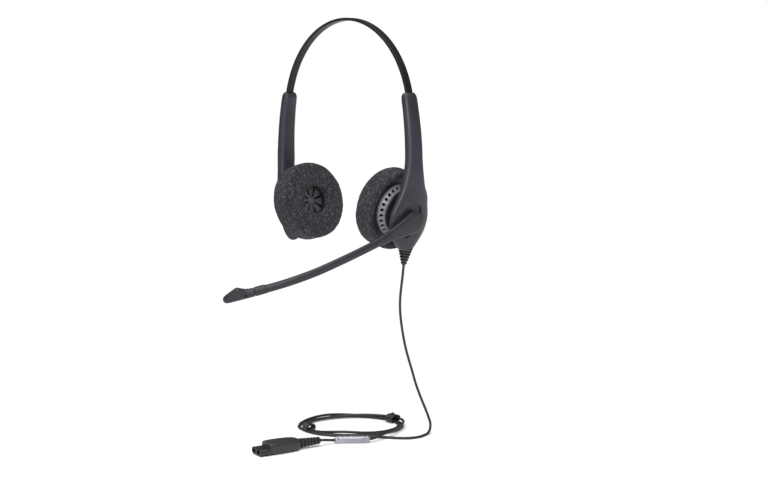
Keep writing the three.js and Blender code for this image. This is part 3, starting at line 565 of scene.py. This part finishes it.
def coil_points():
    """The coil's turns, wound clockwise seen from above, each inside the one before. The end of the
    last one climbs and runs out over the others, and two low humps pass over the turns below."""
    enter, leave = -98, -26
    sweep = 360 * TURNS - (leave - enter)
    steps = round(POINTS_PER_TURN * sweep / 360)
    last_turn = sweep / 360
    middle = (COIL["inner"] + COIL["outer"]) / 2
    points = []
    for i in range(steps + 1):
        turn = last_turn * i / steps
        angle = enter - 360 * turn
        held = max(near(angle, place, 26) for place in HELD_AT)
        spacing = 2.25 + 1.0 * (1 - held)
        rank = 1.15 - min(turn, 2.4)
        out_again = max(0.0, (turn - 2.3) / (last_turn - 2.3)) ** 1.5
        radius = middle + 1.4 + spacing * rank + 7.4 * out_again
        radius += 3.4 * near(angle, 186, 17) * (0.6 < turn < 1.4)
        outer_lift = 1.9 * near(angle, 120, 38) * max(0.0, 1 - abs(turn - 0.4) / 0.6)
        inner_lift = 1.7 * near(angle, 260, 32) * max(0.0, 1 - abs(turn - 2.0) / 0.5)
        height = outer_lift + inner_lift + 0.25 * (1 - held) * turn + 2.9 * min(out_again * 1.6, 1)
        x = radius * math.cos(math.radians(angle)) - 0.6
        y = radius * COIL["flatness"] * math.sin(math.radians(angle))
        points.append(coil_matrix() @ Vector((x, y, CORD_RADIUS + height)))
    return points


def cord_line():
    """The whole cord from the arm to the plug, with a smooth curve where two stretches meet."""
    hanging = smoothed(HANGING_ROUTE, 4)
    coil = coil_points()
    tail = smoothed(TAIL_ROUTE, 4)
    joined = smoothed([hanging[-9], hanging[-5], hanging[-1], coil[3], coil[6], coil[9]], 4)
    away = smoothed([coil[-10], coil[-7], coil[-4], tail[0], tail[4], tail[8]], 4)
    return hanging[:-9] + joined + coil[10:-10] + away + tail[9:]


def add_line(name, points, radius):
    """A round curve along points in millimetres."""
    curve = bpy.data.curves.new(name, "CURVE")
    curve.dimensions = "3D"
    curve.bevel_depth = radius * MM
    curve.bevel_resolution = 5
    curve.use_fill_caps = True
    spline = curve.splines.new("POLY")
    spline.points.add(len(points) - 1)
    for target, point in zip(spline.points, points):
        target.co = (*(Vector(point) * MM), 1)
    spline.use_smooth = True
    line = bpy.data.objects.new(name, curve)
    bpy.context.scene.collection.objects.link(line)
    return line


def make_cord():
    """The cord and its length in millimetres."""
    points = cord_line()
    cord = add_line("cord", points, CORD_RADIUS)
    stand_in(cord, "cord_hanging", "cord_coil", "cord_tail")
    return cord, sum((after - here).length for here, after in zip(points, points[1:]))


# ---- headband ---------------------------------------------------------------------------------

def band_line():
    """The band's centre line from the plain end over the crown to the boom end, as (x, z)."""
    half = []
    steps = 60
    lowest = math.asin(1 + BAND["straight_from"] / BAND["drop"])
    for i in range(steps + 1):
        angle = math.pi / 2 + (i / steps) * (lowest - math.pi / 2)
        half.append((BAND["reach"] * math.cos(angle), BAND["drop"] * (math.sin(angle) - 1)))
    x, z = half[-1]
    run = z - BAND["end"]
    half.append((x + run / 2 * math.tan(math.radians(BAND["lean"])), z - run / 2))
    half.append((x + run * math.tan(math.radians(BAND["lean"])), BAND["end"]))
    lifted = [(px, pz + BAND["half_thick"]) for px, pz in half]
    return [(-px, pz) for px, pz in reversed(lifted[1:])] + lifted


def make_headband():
    """The smooth cover, a flat tube that is open at both ends round the spring."""
    line = band_line()
    half_thick, half_width, wall = BAND["half_thick"], BAND["half_width"], BAND["wall"]
    outline = filleted([(-half_thick, -half_width, 0.7), (half_thick, -half_width, 0.7),
                        (half_thick, half_width, 0.7), (-half_thick, half_width, 0.7)], 5)
    hollow = [(u * (1 - wall / half_thick), v * (1 - wall / half_width)) for u, v in outline]
    stations = []
    for i, (x, z) in enumerate(line):
        ax, az = line[max(i - 1, 0)]
        bx, bz = line[min(i + 1, len(line) - 1)]
        stations.append((Vector((x, 0, z)), Vector((az - bz, 0, bx - ax)).normalized()))
    rings = [[centre + out * u + Vector((0, v, 0)) for u, v in outline] for centre, out in stations]
    rings += [[centre + out * u + Vector((0, v, 0)) for u, v in hollow] for centre, out in stations[::-1]]
    stand_in(add_loft("headband_shell", rings, closed_rings=True), "headband_cover")


# ---- arms -------------------------------------------------------------------------------------

def arm_x(z):
    """How far out an arm's bowed middle is at a height."""
    return ARM_BOW["reach"] - (z - ARM_BOW["height"]) ** 2 / (2 * ARM_BOW["radius"])


def arm_across(z):
    """The direction out through an arm at a height, square to its bow."""
    slope = (ARM_BOW["height"] - z) / ARM_BOW["radius"]
    return Vector((1, 0, -slope)).normalized()


def arm_heights(stations):
    """Heights of an arm's rings, close together at its rounded ends."""
    top, bottom = stations[0][0], stations[-1][0]
    heights = [top - 3.4 * (i / 14) ** 1.6 for i in range(15)]
    steps = 84
    start = heights[-1]
    end = bottom + 4
    heights += [start + (end - start) * i / steps for i in range(1, steps + 1)]
    return heights + [end - 4 * (1 - (1 - i / 10) ** 1.5) for i in range(1, 11)]


def arm_half(name, stations, side, core, matrix):
    """Half an arm on one side of its parting surface, as a hollow shell. core turns the hollow's
    usual depth at a height into the depth that it has there."""
    arc, squareness, quarter = 26, 2.15, math.pi / 2
    rings = []
    for z in arm_heights(stations):
        thick, width, forward = table_at(stations, z)
        centre = Vector((arm_x(z), -forward, z))
        across = arm_across(z) * side
        mouth = 1 - min(max((stations[0][0] - z) / 9, 0), 1)
        depth = core(z, max(thick - ARM_WALL + 0.55 * mouth, 0.3))
        inner_width = max(width - ARM_WALL, 0.5)
        inner_width += (min(inner_width, 3.9) - inner_width) * mouth
        ring = []
        for u, v in superellipse(thick, width, squareness, arc, -quarter, quarter, closed=False):
            lift = SEAM + 0.14 * max(0.0, 1 - u / 0.5)
            tuck = 0.988 if u < 0.5 else 1
            ring.append(centre + across * max(u, lift) + Vector((0, v * tuck, 0)))
        hollow = superellipse(depth, inner_width, squareness, arc, -quarter, quarter, closed=False)
        for u, v in reversed(hollow):
            ring.append(centre + across * max(u, SEAM) + Vector((0, v, 0)))
        rings.append(ring)
    return add_loft(name, rings, matrix)


def pivot_matrix(droop=BOOM["droop"]):
    """The boom's own frame at its pivot: +Z goes into the arm, and -Y runs along the boom."""
    turn = Matrix.Rotation(math.radians(BOOM["tilt"]) - math.pi / 2, 4, "Y")
    swing = Matrix.Rotation(math.radians(-droop), 4, "Z")
    return Matrix.Translation((arm_x(BOOM["height"]), -BOOM["forward"], BOOM["height"])) @ turn @ swing


def follow_wall(z, depth):
    """The hollow keeps its usual depth."""
    return depth


def solid_round_pocket(z, depth):
    """The outer shell is thick behind the boom's pocket."""
    edge = min(max((abs(z + 149) - 17) / 6, 0), 1)
    return min(depth, 1.3 + (depth - 1.3) * edge)


def pocket_tools():
    """The round recess that the boom turns in, which is closer behind it, the notch that its tube
    leaves through and the hole for its hub."""
    floor = POCKET["floor"]
    level = pivot_matrix(0)
    outline = filleted([(0, -20, 0), (POCKET["radius"] + 0.8, -20, 0), (POCKET["radius"] + 0.8, -6.2, 1.5),
                        (POCKET["radius"], -4.4, 1.5), (POCKET["radius"], floor, 0.8), (0, floor, 0)])
    round_tool = add_turned("round tool", outline, level)
    for vertex in round_tool.data.vertices:
        local = level.inverted() @ (vertex.co / MM)
        bearing = math.degrees(math.atan2(-local.y, local.x))
        open_share = min(max((bearing + 60) / 30, 0), max((190 - bearing) / 30, 0), 1)
        keep = POCKET["close"] + (1 - POCKET["close"]) * open_share
        vertex.co = level @ Vector((local.x * keep, local.y * keep, local.z)) * MM
    half, length = POCKET["notch"], POCKET["notch_length"]
    notch = add_block("notch tool", (-half, -length, -20), (half, 0, floor), level)
    hub = add_turned("hub tool", [(0, -20), (4.3, -20), (4.3, 6), (0, 6)], pivot_matrix())
    return [round_tool, notch, hub]


def make_arm(side_name, stations, mirrored, core):
    """Both shells of an arm, with the slot that the headband's end slides in."""
    matrix = Matrix.Scale(-1, 4, (1, 0, 0)) if mirrored else Matrix()
    outer = arm_half(f"{side_name}_outer_shell", stations, 1, core, matrix)
    inner = arm_half(f"{side_name}_inner_shell", stations, -1, follow_wall, matrix)
    for half in (outer, inner):
        carve(half, add_block("slot tool", *BAND_SLOT, matrix, 0.7))
    if not mirrored:
        carve(outer, *pocket_tools())
    stand_in(outer, f"{side_name}_arm_outer_shell")
    stand_in(inner, f"{side_name}_arm_inner_shell")


# ---- ear cups ---------------------------------------------------------------------------------

def cup_matrix(mirrored):
    """An ear cup's own frame, whose +Z points to the ear."""
    tilt = math.radians(CUP["tilt"])
    inward = Vector((-math.cos(tilt), 0, math.sin(tilt)))
    centre = Vector((arm_x(CUP["height"]), CUP["rear"], CUP["height"])) + inward * CUP["stand_off"]
    placed = Matrix.Translation(centre) @ Matrix.Rotation(tilt - math.pi / 2, 4, "Y")
    return Matrix.Scale(-1, 4, (1, 0, 0)) @ placed if mirrored else placed


def cushion_outline():
    """The foam ring's section: a flat front, a wide round rim and a lip round the capsule."""
    corners = [(11.6, 13.4, 0.4), (11.5, 20.3, 2), (22, 20.4, 6), (30.6, 19.4, 9.5), (30.5, 1.9, 9),
               (26.2, 1.9, 1.2), (26.1, 6.2, 0.4), (24.5, 7.7, 0.4), (24.5, 13.4, 0.3)]
    outline = filleted(corners, 6)
    dense = []
    for here, after in zip(outline, outline[1:] + outline[:1]):
        pieces = max(1, round((after - here).length / 0.7))
        dense += [here.lerp(after, i / pieces) for i in range(pieces)]
    return dense


def roughen(piece, amplitude, sizes):
    """Moves each point of a mesh along its normal by noise of several sizes."""
    mesh = piece.data
    shifts = []
    for vertex in mesh.vertices:
        total = sum(weight * noise.noise(vertex.co / (size * MM)) for size, weight in sizes)
        shifts.append(vertex.co + vertex.normal * total * amplitude * MM)
    for vertex, co in zip(mesh.vertices, shifts):
        vertex.co = co


def make_cushion(side_name, mirrored):
    """The foam ring, with an uneven surface."""
    segments = 260
    cushion = add_turned(f"{side_name}_foam_cushion", cushion_outline(), cup_matrix(mirrored), segments,
                         sharp=80, solid=False)
    roughen(cushion, 0.16, [(1.3, 1.0), (2.6, 0.8), (12, 2.0)])
    stand_in(cushion, f"{side_name}_ear_cushion")


def slot_tools(matrix):
    """Wedges for a front plate's slots, as one tool."""
    inner, outer = SLOTS["inner"], SLOTS["outer"]
    inner_half, outer_half = SLOTS["inner_half"], SLOTS["outer_half"]
    section = filleted([(inner, -inner_half, 0.3), (outer, -outer_half, 0.5),
                        (outer, outer_half, 0.5), (inner, inner_half, 0.3)], 3)
    rings = [[Vector((x, y, z)) for x, y in section] for z in (10, 15)]
    tools = []
    for i in range(SLOTS["count"]):
        turn = Matrix.Rotation(math.radians(SLOTS["turn"] + i * 360 / SLOTS["count"]), 4, "Z")
        tools.append(add_loft("slot tool", rings, matrix @ turn))
    return join("slot tools", tools)


def make_front_plate(side_name, mirrored):
    """The slotted plate in front of the speaker, and a thin black ring of painted shade on the inner wall
    of the cushion's opening.
    """
    matrix = cup_matrix(mirrored)
    outline = filleted([(0, 12.3, 0), (13, 12.3, 0.3), (13, 11.4, 0.2), (22.3, 11.4, 0.2), (22.3, 9.9, 0.2),
                        (24, 9.9, 0.3), (24, 13, 0.3), (12, 13, 0.6), (3.2, 13.25, 0.4), (2.5, 13.9, 0.5),
                        (0, 13.9, 0)])
    plate = add_turned(f"{side_name}_slotted_plate", outline, matrix, 128)
    carve(plate, slot_tools(matrix))
    stand_in(plate, f"{side_name}_speaker_front_plate")
    # Painted shade: a thin black ring on the opening's inner wall stands for the shade that falls there
    # beside the plate.
    shade_ring_outline = filleted([(11.1, 12.9, 0.1), (11.2, 17.8, 0.2), (11.75, 18.2, 0.2), (11.75, 12.9, 0.1)])
    shade_ring = add_turned(f"{side_name}_opening_shade_ring", shade_ring_outline, matrix, 96, solid=False)
    dress(shade_ring, f"{side_name}_cup", "black_plastic")


# Sections of the cap round the ball stud and of the black ring of painted shade in the groove under the
# cushion: radius, height, fillet.
CAP_OUTLINE = [(4.45, -1.9, 0.3), (4.7, 0, 1), (4.1, 2.3, 0.3), (5.2, 2.9, 0.4), (5.9, 0, 0.6),
               (6.2, -0.6, 0.4), (11, -0.6, 1), (16.5, 0.9, 0.5), (17.3, -0.1, 0.3), (16.4, -0.9, 0.8),
               (11, -2.1, 2), (7.4, -2.4, 0.6)]
GROOVE_SHADE_OUTLINE = [(20.7, 4.9, 0.2), (25, 5.4, 1), (25.3, 2.6, 0.4), (26.3, 2.2, 0.3), (26.2, 6.2, 0.2),
                  (24.4, 7.7, 0.2), (24.4, 9.8, 0.2), (20.7, 9.8, 0.2)]


def vent_tools(matrix):
    """Pins for a back shell's ring of vents, as one tool."""
    count, ring, radius = VENTS["count"], VENTS["ring"], VENTS["radius"]
    outline = [(0, -6), (radius, -6), (radius, 4.6), (0, 4.6)]
    tools = []
    for i in range(count):
        angle = (i + 0.5) * 2 * math.pi / count
        spot = Matrix.Translation((ring * math.cos(angle), ring * math.sin(angle), 0))
        tools.append(add_turned("vent tool", outline, matrix @ spot, 20))
    return join("vent tools", tools)


def make_back_shell(side_name, mirrored):
    """The vented ring behind the speaker, with the cap inside it and a black ring of painted shade round
    it.
    """
    matrix = cup_matrix(mirrored)
    outline = filleted([(16.6, 0.8, 0.3), (18.6, 3.3, 1), (19.2, 5.6, 0.3), (20.6, 5.6, 0.3),
                        (20.7, 3.1, 1.1), (17.6, 0, 0.4), (16.6, -0.3, 0.3)])
    shell = add_turned(f"{side_name}_vented_shell", outline, matrix, 144, solid=False)
    # Both are black. The ring is painted shade in the groove round the capsule, and the black cap also
    # paints the shade that the arm casts on the capsule's middle.
    for name, section in (("swivel_cap", CAP_OUTLINE), ("groove_shade", GROOVE_SHADE_OUTLINE)):
        piece = add_turned(f"{side_name}_{name}", filleted(section), matrix, 96, solid=False)
        dress(piece, f"{side_name}_cup", "black_plastic")
    carve(shell, vent_tools(matrix))
    stand_in(shell, f"{side_name}_speaker_back_shell")


# ---- boom -------------------------------------------------------------------------------------

def boom_frames(count):
    """Places along the boom: (distance from the pivot, centre, direction)."""
    line = smoothed(BOOM_LINE, 30)
    back = BOOM["paddle"]
    line = [Vector((0, back * (1 - i / 14), BOOM["middle"])) for i in range(14)] + line
    distance = [-back]
    for a, b in zip(line, line[1:]):
        distance.append(distance[-1] + (b - a).length)
    total = distance[-1]
    frames = []
    k = 0
    for i in range(count + 1):
        share = i / count
        target = -back + (total + back) * share
        while k < len(distance) - 2 and distance[k + 1] < target:
            k += 1
        t = (target - distance[k]) / (distance[k + 1] - distance[k])
        along = (line[k + 1] - line[k]).normalized()
        frames.append((target, line[k].lerp(line[k + 1], min(max(t, 0), 1)), along))
    return frames


# Distance from the pivot, half width up, half width down, outer and inner half thickness.
BOOM_SECTIONS = [(-8.6, 0.6, 0.6, 1.0, 2.4), (-8.3, 2.2, 2.2, 1.5, 3.2), (-7, 4.9, 4.9, 1.8, 3.8),
                 (-5, 6.9, 6.9, 1.85, 3.85), (-2.5, 8.2, 8.2, 1.85, 3.85), (0, 8.6, 8.6, 1.85, 3.85),
                 (2.5, 8.3, 8.5, 1.85, 3.85), (5, 7.7, 8.2, 1.85, 3.7), (9, 7, 7.4, 1.85, 2.8),
                 (13, 6.3, 6.5, 1.85, 2.1), (17.5, 5.6, 5.6, 1.85, 1.9), (23, 4.6, 4.7, 1.9, 1.9),
                 (29, 3.8, 3.9, 2, 2), (36, 3.3, 3.3, 2.05, 2.05), (45, 3.05, 3.05, 2.1, 2.1),
                 (85, 2.95, 2.95, 2.25, 2.25), (130.1, 2.8, 2.9, 2.5, 2.5)]
COLLAR_SECTIONS = [(129.8, 2.7, 2.9, 2.6, 2.6), (130.6, 3.1, 3.05, 2.7, 2.7), (133, 3.5, 3.1, 2.75, 2.75),
                   (138.2, 3.4, 3.1, 2.75, 2.75), (138.9, 3.1, 2.8, 2.5, 2.5)]
MIC_SECTIONS = [(138.9, 3.1, 2.8, 2.5, 2.5), (139.5, 3.3, 3.1, 2.75, 2.75), (142, 3.5, 3.1, 2.8, 2.8),
                (145, 4.2, 3.1, 2.9, 2.9), (147.8, 5.6, 3.1, 2.9, 2.9), (149.8, 6.7, 3.1, 2.9, 2.9),
                (150.9, 6.9, 3.1, 2.9, 2.9), (153, 6, 3.1, 2.9, 2.9), (156, 4.6, 3.1, 2.85, 2.85),
                (158.5, 3.4, 3, 2.7, 2.7), (160, 2.5, 2.7, 2.3, 2.3), (160.9, 1.6, 2.1, 1.8, 1.8),
                (161.5, 0.8, 1.3, 1.1, 1.1), (161.7, 0.2, 0.5, 0.4, 0.4)]


def boom_ring(distance, centre, along, sections, squareness):
    """A section of the boom, square to its direction."""
    up, down, outer, inner = table_at(sections, distance)
    across = Vector((1, 0, 0))
    inward = along.cross(across)
    if inward.z < 0:
        inward = -inward
    ring = []
    for u, v in superellipse(1, 1, squareness, 56):
        width, thick = (up if u > 0 else down), (inner if v > 0 else outer)
        ring.append(centre + across * u * width + inward * v * thick)
    return ring


def boom_stretch(name, frames, sections, squareness):
    """Part of the boom between the first and last distance in sections."""
    start, end = sections[0][0], sections[-1][0]
    inside = [row for row in frames if start <= row[0] <= end]
    rings = [boom_ring(*row, sections, squareness(row[0])) for row in inside]
    return add_loft(name, rings, pivot_matrix())


def make_boom():
    """The boom's flat round end, its bar, the collar, and the microphone with a fin on top."""
    frames = boom_frames(640)
    tube = boom_stretch("boom_bar", frames, BOOM_SECTIONS,
                        lambda distance: 2.9 - 0.5 * min(max((distance - 12) / 20, 0), 1))
    hub = add_turned("hub", [(0, -5), (4, -5), (4, 0.2), (0, 0.2)], pivot_matrix(), 48)
    stand_in(join("boom_bar", [tube, hub]), "boom_tube")
    collar = boom_stretch("boom_seam_collar", frames, COLLAR_SECTIONS, lambda distance: 2.4)
    stand_in(collar, "boom_collar", slot="boom_plastic")
    mic = boom_stretch("microphone_shell", frames, MIC_SECTIONS, lambda distance: 2.2)
    hole = [row for row in frames if row[0] >= 146.8][0]
    matrix = pivot_matrix() @ Matrix.Translation(hole[1] + Vector((0.2, 0, 0)))
    carve(mic, add_turned("hole tool", [(0, -6), (0.85, -6), (0.85, -1.2), (0, -1.2)], matrix, 24))
    stand_in(mic, "microphone_housing")


# ---- strain reliefs, plug, label and ties -----------------------------------------------------

def ribbed(name, length, radii, ribs, core, matrix):
    """A tapering sleeve of ribs with narrow gaps between them, from the origin along +Z."""
    outline = [(0, 0, 0)]
    pitch = length / ribs
    for i in range(ribs):
        radius = radii[0] + (radii[1] - radii[0]) * (i + 0.4) / ribs
        z = i * pitch
        outline += [(radius, z + 0.02, 0.25), (radius * 0.97, z + pitch * 0.52, 0.25),
                    (max(core, radius * 0.55), z + pitch * 0.6, 0.1),
                    (max(core, radius * 0.53), z + pitch * 0.97, 0.1)]
    outline[-1] = (core, length - 0.1, 0.2)
    outline.append((0, length, 0))
    return add_turned(name, filleted(outline, 3, closed=False), matrix, 64)


def make_arm_relief():
    """The ribbed sleeve that the cord leaves the boom-side arm through."""
    down = Matrix.Rotation(math.radians(189), 4, "Y")
    foot = Matrix.Translation((arm_x(-173) + 0.3, 0.5, -171.4)) @ down
    relief = ribbed("cord_ribbed_sleeve", 13.3, (5.9, 2.1), 6, 1.5, foot)
    stand_in(relief, "cord_strain_relief")


def plug_matrix():
    """The plug's own frame on the floor, whose +X points to its contacts."""
    spot = Matrix.Translation((PLUG["x"], PLUG["y"], FLOOR))
    return spot @ Matrix.Rotation(math.radians(PLUG["yaw"]), 4, "Z")


# Distance from the plug's back, half width, lowest and highest point of its grip.
PLUG_SECTIONS = [(0, 4, 1.2, 7.8), (0.5, 4.7, 0.7, 8.5), (4, 6.2, 0.25, 9.2), (13, 7.4, 0.1, 9.5),
                 (21, 7.7, 0.1, 9.4), (25.4, 7.6, 0.2, 9.1), (26, 7.3, 0.4, 8.8)]
PLUG_SEAM = 4.6


def plug_half(name, upper):
    """The grip's shell on one side of its seam."""
    rings = []
    steps = 60
    for i in range(steps + 1):
        along = PLUG["grip"] * (1 - math.cos(math.pi * i / steps)) / 2
        width, low, high = table_at(PLUG_SECTIONS, along)
        middle = PLUG_SEAM + (0.05 if upper else -0.05)
        tall = high - PLUG_SEAM if upper else PLUG_SEAM - low
        span = (0, math.pi) if upper else (math.pi, 2 * math.pi)
        rings.append([Vector((along, u, middle + v))
                      for u, v in superellipse(width, tall, 4.2, 32, *span, closed=False)])
    return add_loft(name, rings, plug_matrix())


def make_plug():
    """The plug's two grip shells, its tongue with two sockets, and its strain relief."""
    matrix = plug_matrix()
    upper = stand_in(plug_half("plug_upper_grip", True), "plug_upper_shell")
    lower = stand_in(plug_half("plug_lower_grip", False), "plug_lower_shell")
    start, end = PLUG["grip"] - 3, PLUG["grip"] + PLUG["tongue"]
    rings = []
    for along, shrink in ((start, 0), (end - 0.8, 0), (end - 0.25, 0.15), (end, 0.5)):
        section = superellipse(7.5 - shrink, 2.4 - shrink, 6, 48)
        rings.append([Vector((along, u, 3 + v)) for u, v in section])
    tongue = add_loft("plug_socket_tongue", rings, matrix)
    for centre in (-3.4, 3.4):
        low, high = (end - 6, centre - 2.5, 1.5), (end + 2, centre + 2.5, 4.6)
        carve(tongue, add_block("socket tool", low, high, matrix, 0.4))
    stand_in(tongue, "plug_contact_block")
    back = Matrix.Translation((0.3, 0, PLUG["axis"])) @ Matrix.Rotation(-math.pi / 2, 4, "Y")
    relief = ribbed("plug_ribbed_sleeve", 19.8, (3.9, 2.7), 7, 1.7, matrix @ back)
    stand_in(relief, "plug_strain_relief")
    return [upper, lower, tongue, relief]


def make_label():
    """A thin sleeve pressed flat round the cord, wider at its middle than its crimped ends."""
    tail = smoothed(TAIL_ROUTE, 12)
    start, end = round(len(tail) * 0.42), round(len(tail) * 0.77)
    outside = []
    inside = []
    for i in range(start, end + 1):
        along = (tail[i + 1] - tail[i - 1]).normalized()
        side = Vector((-along.y, along.x, 0)).normalized()
        share = (i - start) / (end - start)
        edge = min(share, 1 - share)
        tall = 2.0 + 0.9 * min(edge / 0.06, 1) + 0.12 * math.sin(share * 40)
        deep = 1.35 + 0.5 * min(edge / 0.06, 1) + 0.08 * math.sin(share * 33 + 1)
        section = superellipse(deep, tall, 2.6, 32)
        ring = [tail[i] + side * u + Vector((0, 0, v)) for u, v in section]
        outside.append(ring)
        inside.append([tail[i].lerp(point, 0.62) for point in ring])
    sleeve = add_loft("cord_sleeve_label", outside + inside[::-1], closed_rings=True)
    return stand_in(sleeve, "cord_label")


def make_tie(name, node, angle, turns, wire, spread, height):
    """A few turns of a soft tie round the coil, with a short free end."""
    turn = math.radians(angle)
    middle = (COIL["inner"] + COIL["outer"]) / 2
    centre = Vector((middle * math.cos(turn), middle * COIL["flatness"] * math.sin(turn), 0))
    along = Vector((-math.sin(turn), COIL["flatness"] * math.cos(turn), 0)).normalized()
    outward = Vector((along.y, -along.x, 0))
    steps = 20 * turns
    points = []
    for i in range(steps + 1):
        around = 2 * math.pi * i / 20 + 0.6
        shift = (i / steps - 0.5) * turns * wire * 2.3
        points.append(centre + along * shift + outward * spread * math.cos(around)
                      + Vector((0, 0, height + wire + height * math.sin(around))))
    last = points[-1]
    points += [last + along * 1.2 + outward * 0.8 + Vector((0, 0, 0.7)),
               last + along * 2 + outward * 2 + Vector((0, 0, 0.4))]
    tie = add_line(name, [coil_matrix() @ point for point in smoothed(points, 3)], wire)
    return stand_in(tie, node)


# ---- floor and light --------------------------------------------------------------------------

def make_stage():
    """A pale floor under a white surround that the camera sees brighter than the object does."""
    floor = add_block("floor", (-3000, -3000, FLOOR - 20), (3000, 3000, FLOOR - 0.05))
    build = Nodes("floor")
    slow = build.noise(3, 2)
    floor.data.materials.append(build.finish(build.ramp(slow, (0.955,) * 3, (0.97,) * 3),
                                             build.scaled(slow, 0.8, 0.9), specular=0.1))
    world = bpy.data.worlds.new("studio")
    bpy.context.scene.world = world
    world.use_nodes = True
    background = world.node_tree.nodes["Background"]
    background.inputs["Color"].default_value = (1, 1, 1, 1)
    seen = world.node_tree.nodes.new("ShaderNodeLightPath").outputs["Is Camera Ray"]
    strength = world.node_tree.nodes.new("ShaderNodeMapRange")
    strength.inputs["To Min"].default_value = 0.17
    strength.inputs["To Max"].default_value = 1.0
    world.node_tree.links.new(seen, strength.inputs["Value"])
    world.node_tree.links.new(strength.outputs["Result"], background.inputs["Strength"])
    bpy.context.scene.view_settings.view_transform = "Standard"


def add_lamp(light, place, towards):
    lamp = bpy.data.objects.new(light.name, light)
    lamp.location = place
    lamp.rotation_euler = Vector(towards).to_track_quat("-Z", "Y").to_euler()
    bpy.context.scene.collection.objects.link(lamp)


def make_lights():
    """A wide soft light from above, and a small panel in front of the boom side."""
    sky = bpy.data.lights.new("sky", "SUN")
    sky.energy = 3.05
    sky.angle = math.radians(60)
    add_lamp(sky, (0, 0, 0), (-0.1, 0.3, -1))
    panel = bpy.data.lights.new("front", "AREA")
    panel.shape = "RECTANGLE"
    panel.size = panel.size_y = 0.3
    panel.energy = 2.5
    place, aim = Vector((0.55, -0.45, 0.1)), Vector((0.06, 0, -0.12))
    add_lamp(panel, place, aim - place)


# ---- assembly ---------------------------------------------------------------------------------

make_camera()
cord, cord_length = make_cord()
paint_frame()
make_headband()
make_arm("boom_side", BOOM_ARM, False, solid_round_pocket)
make_arm("plain_side", PLAIN_ARM, True, follow_wall)
for side, flip in (("boom_side", False), ("plain_side", True)):
    make_cushion(side, flip)
    make_front_plate(side, flip)
    make_back_shell(side, flip)
make_boom()
make_arm_relief()
plug_pieces = make_plug()
label = make_label()
ties = [make_tie(*tie) for tie in TIES]
make_stage()
make_lights()
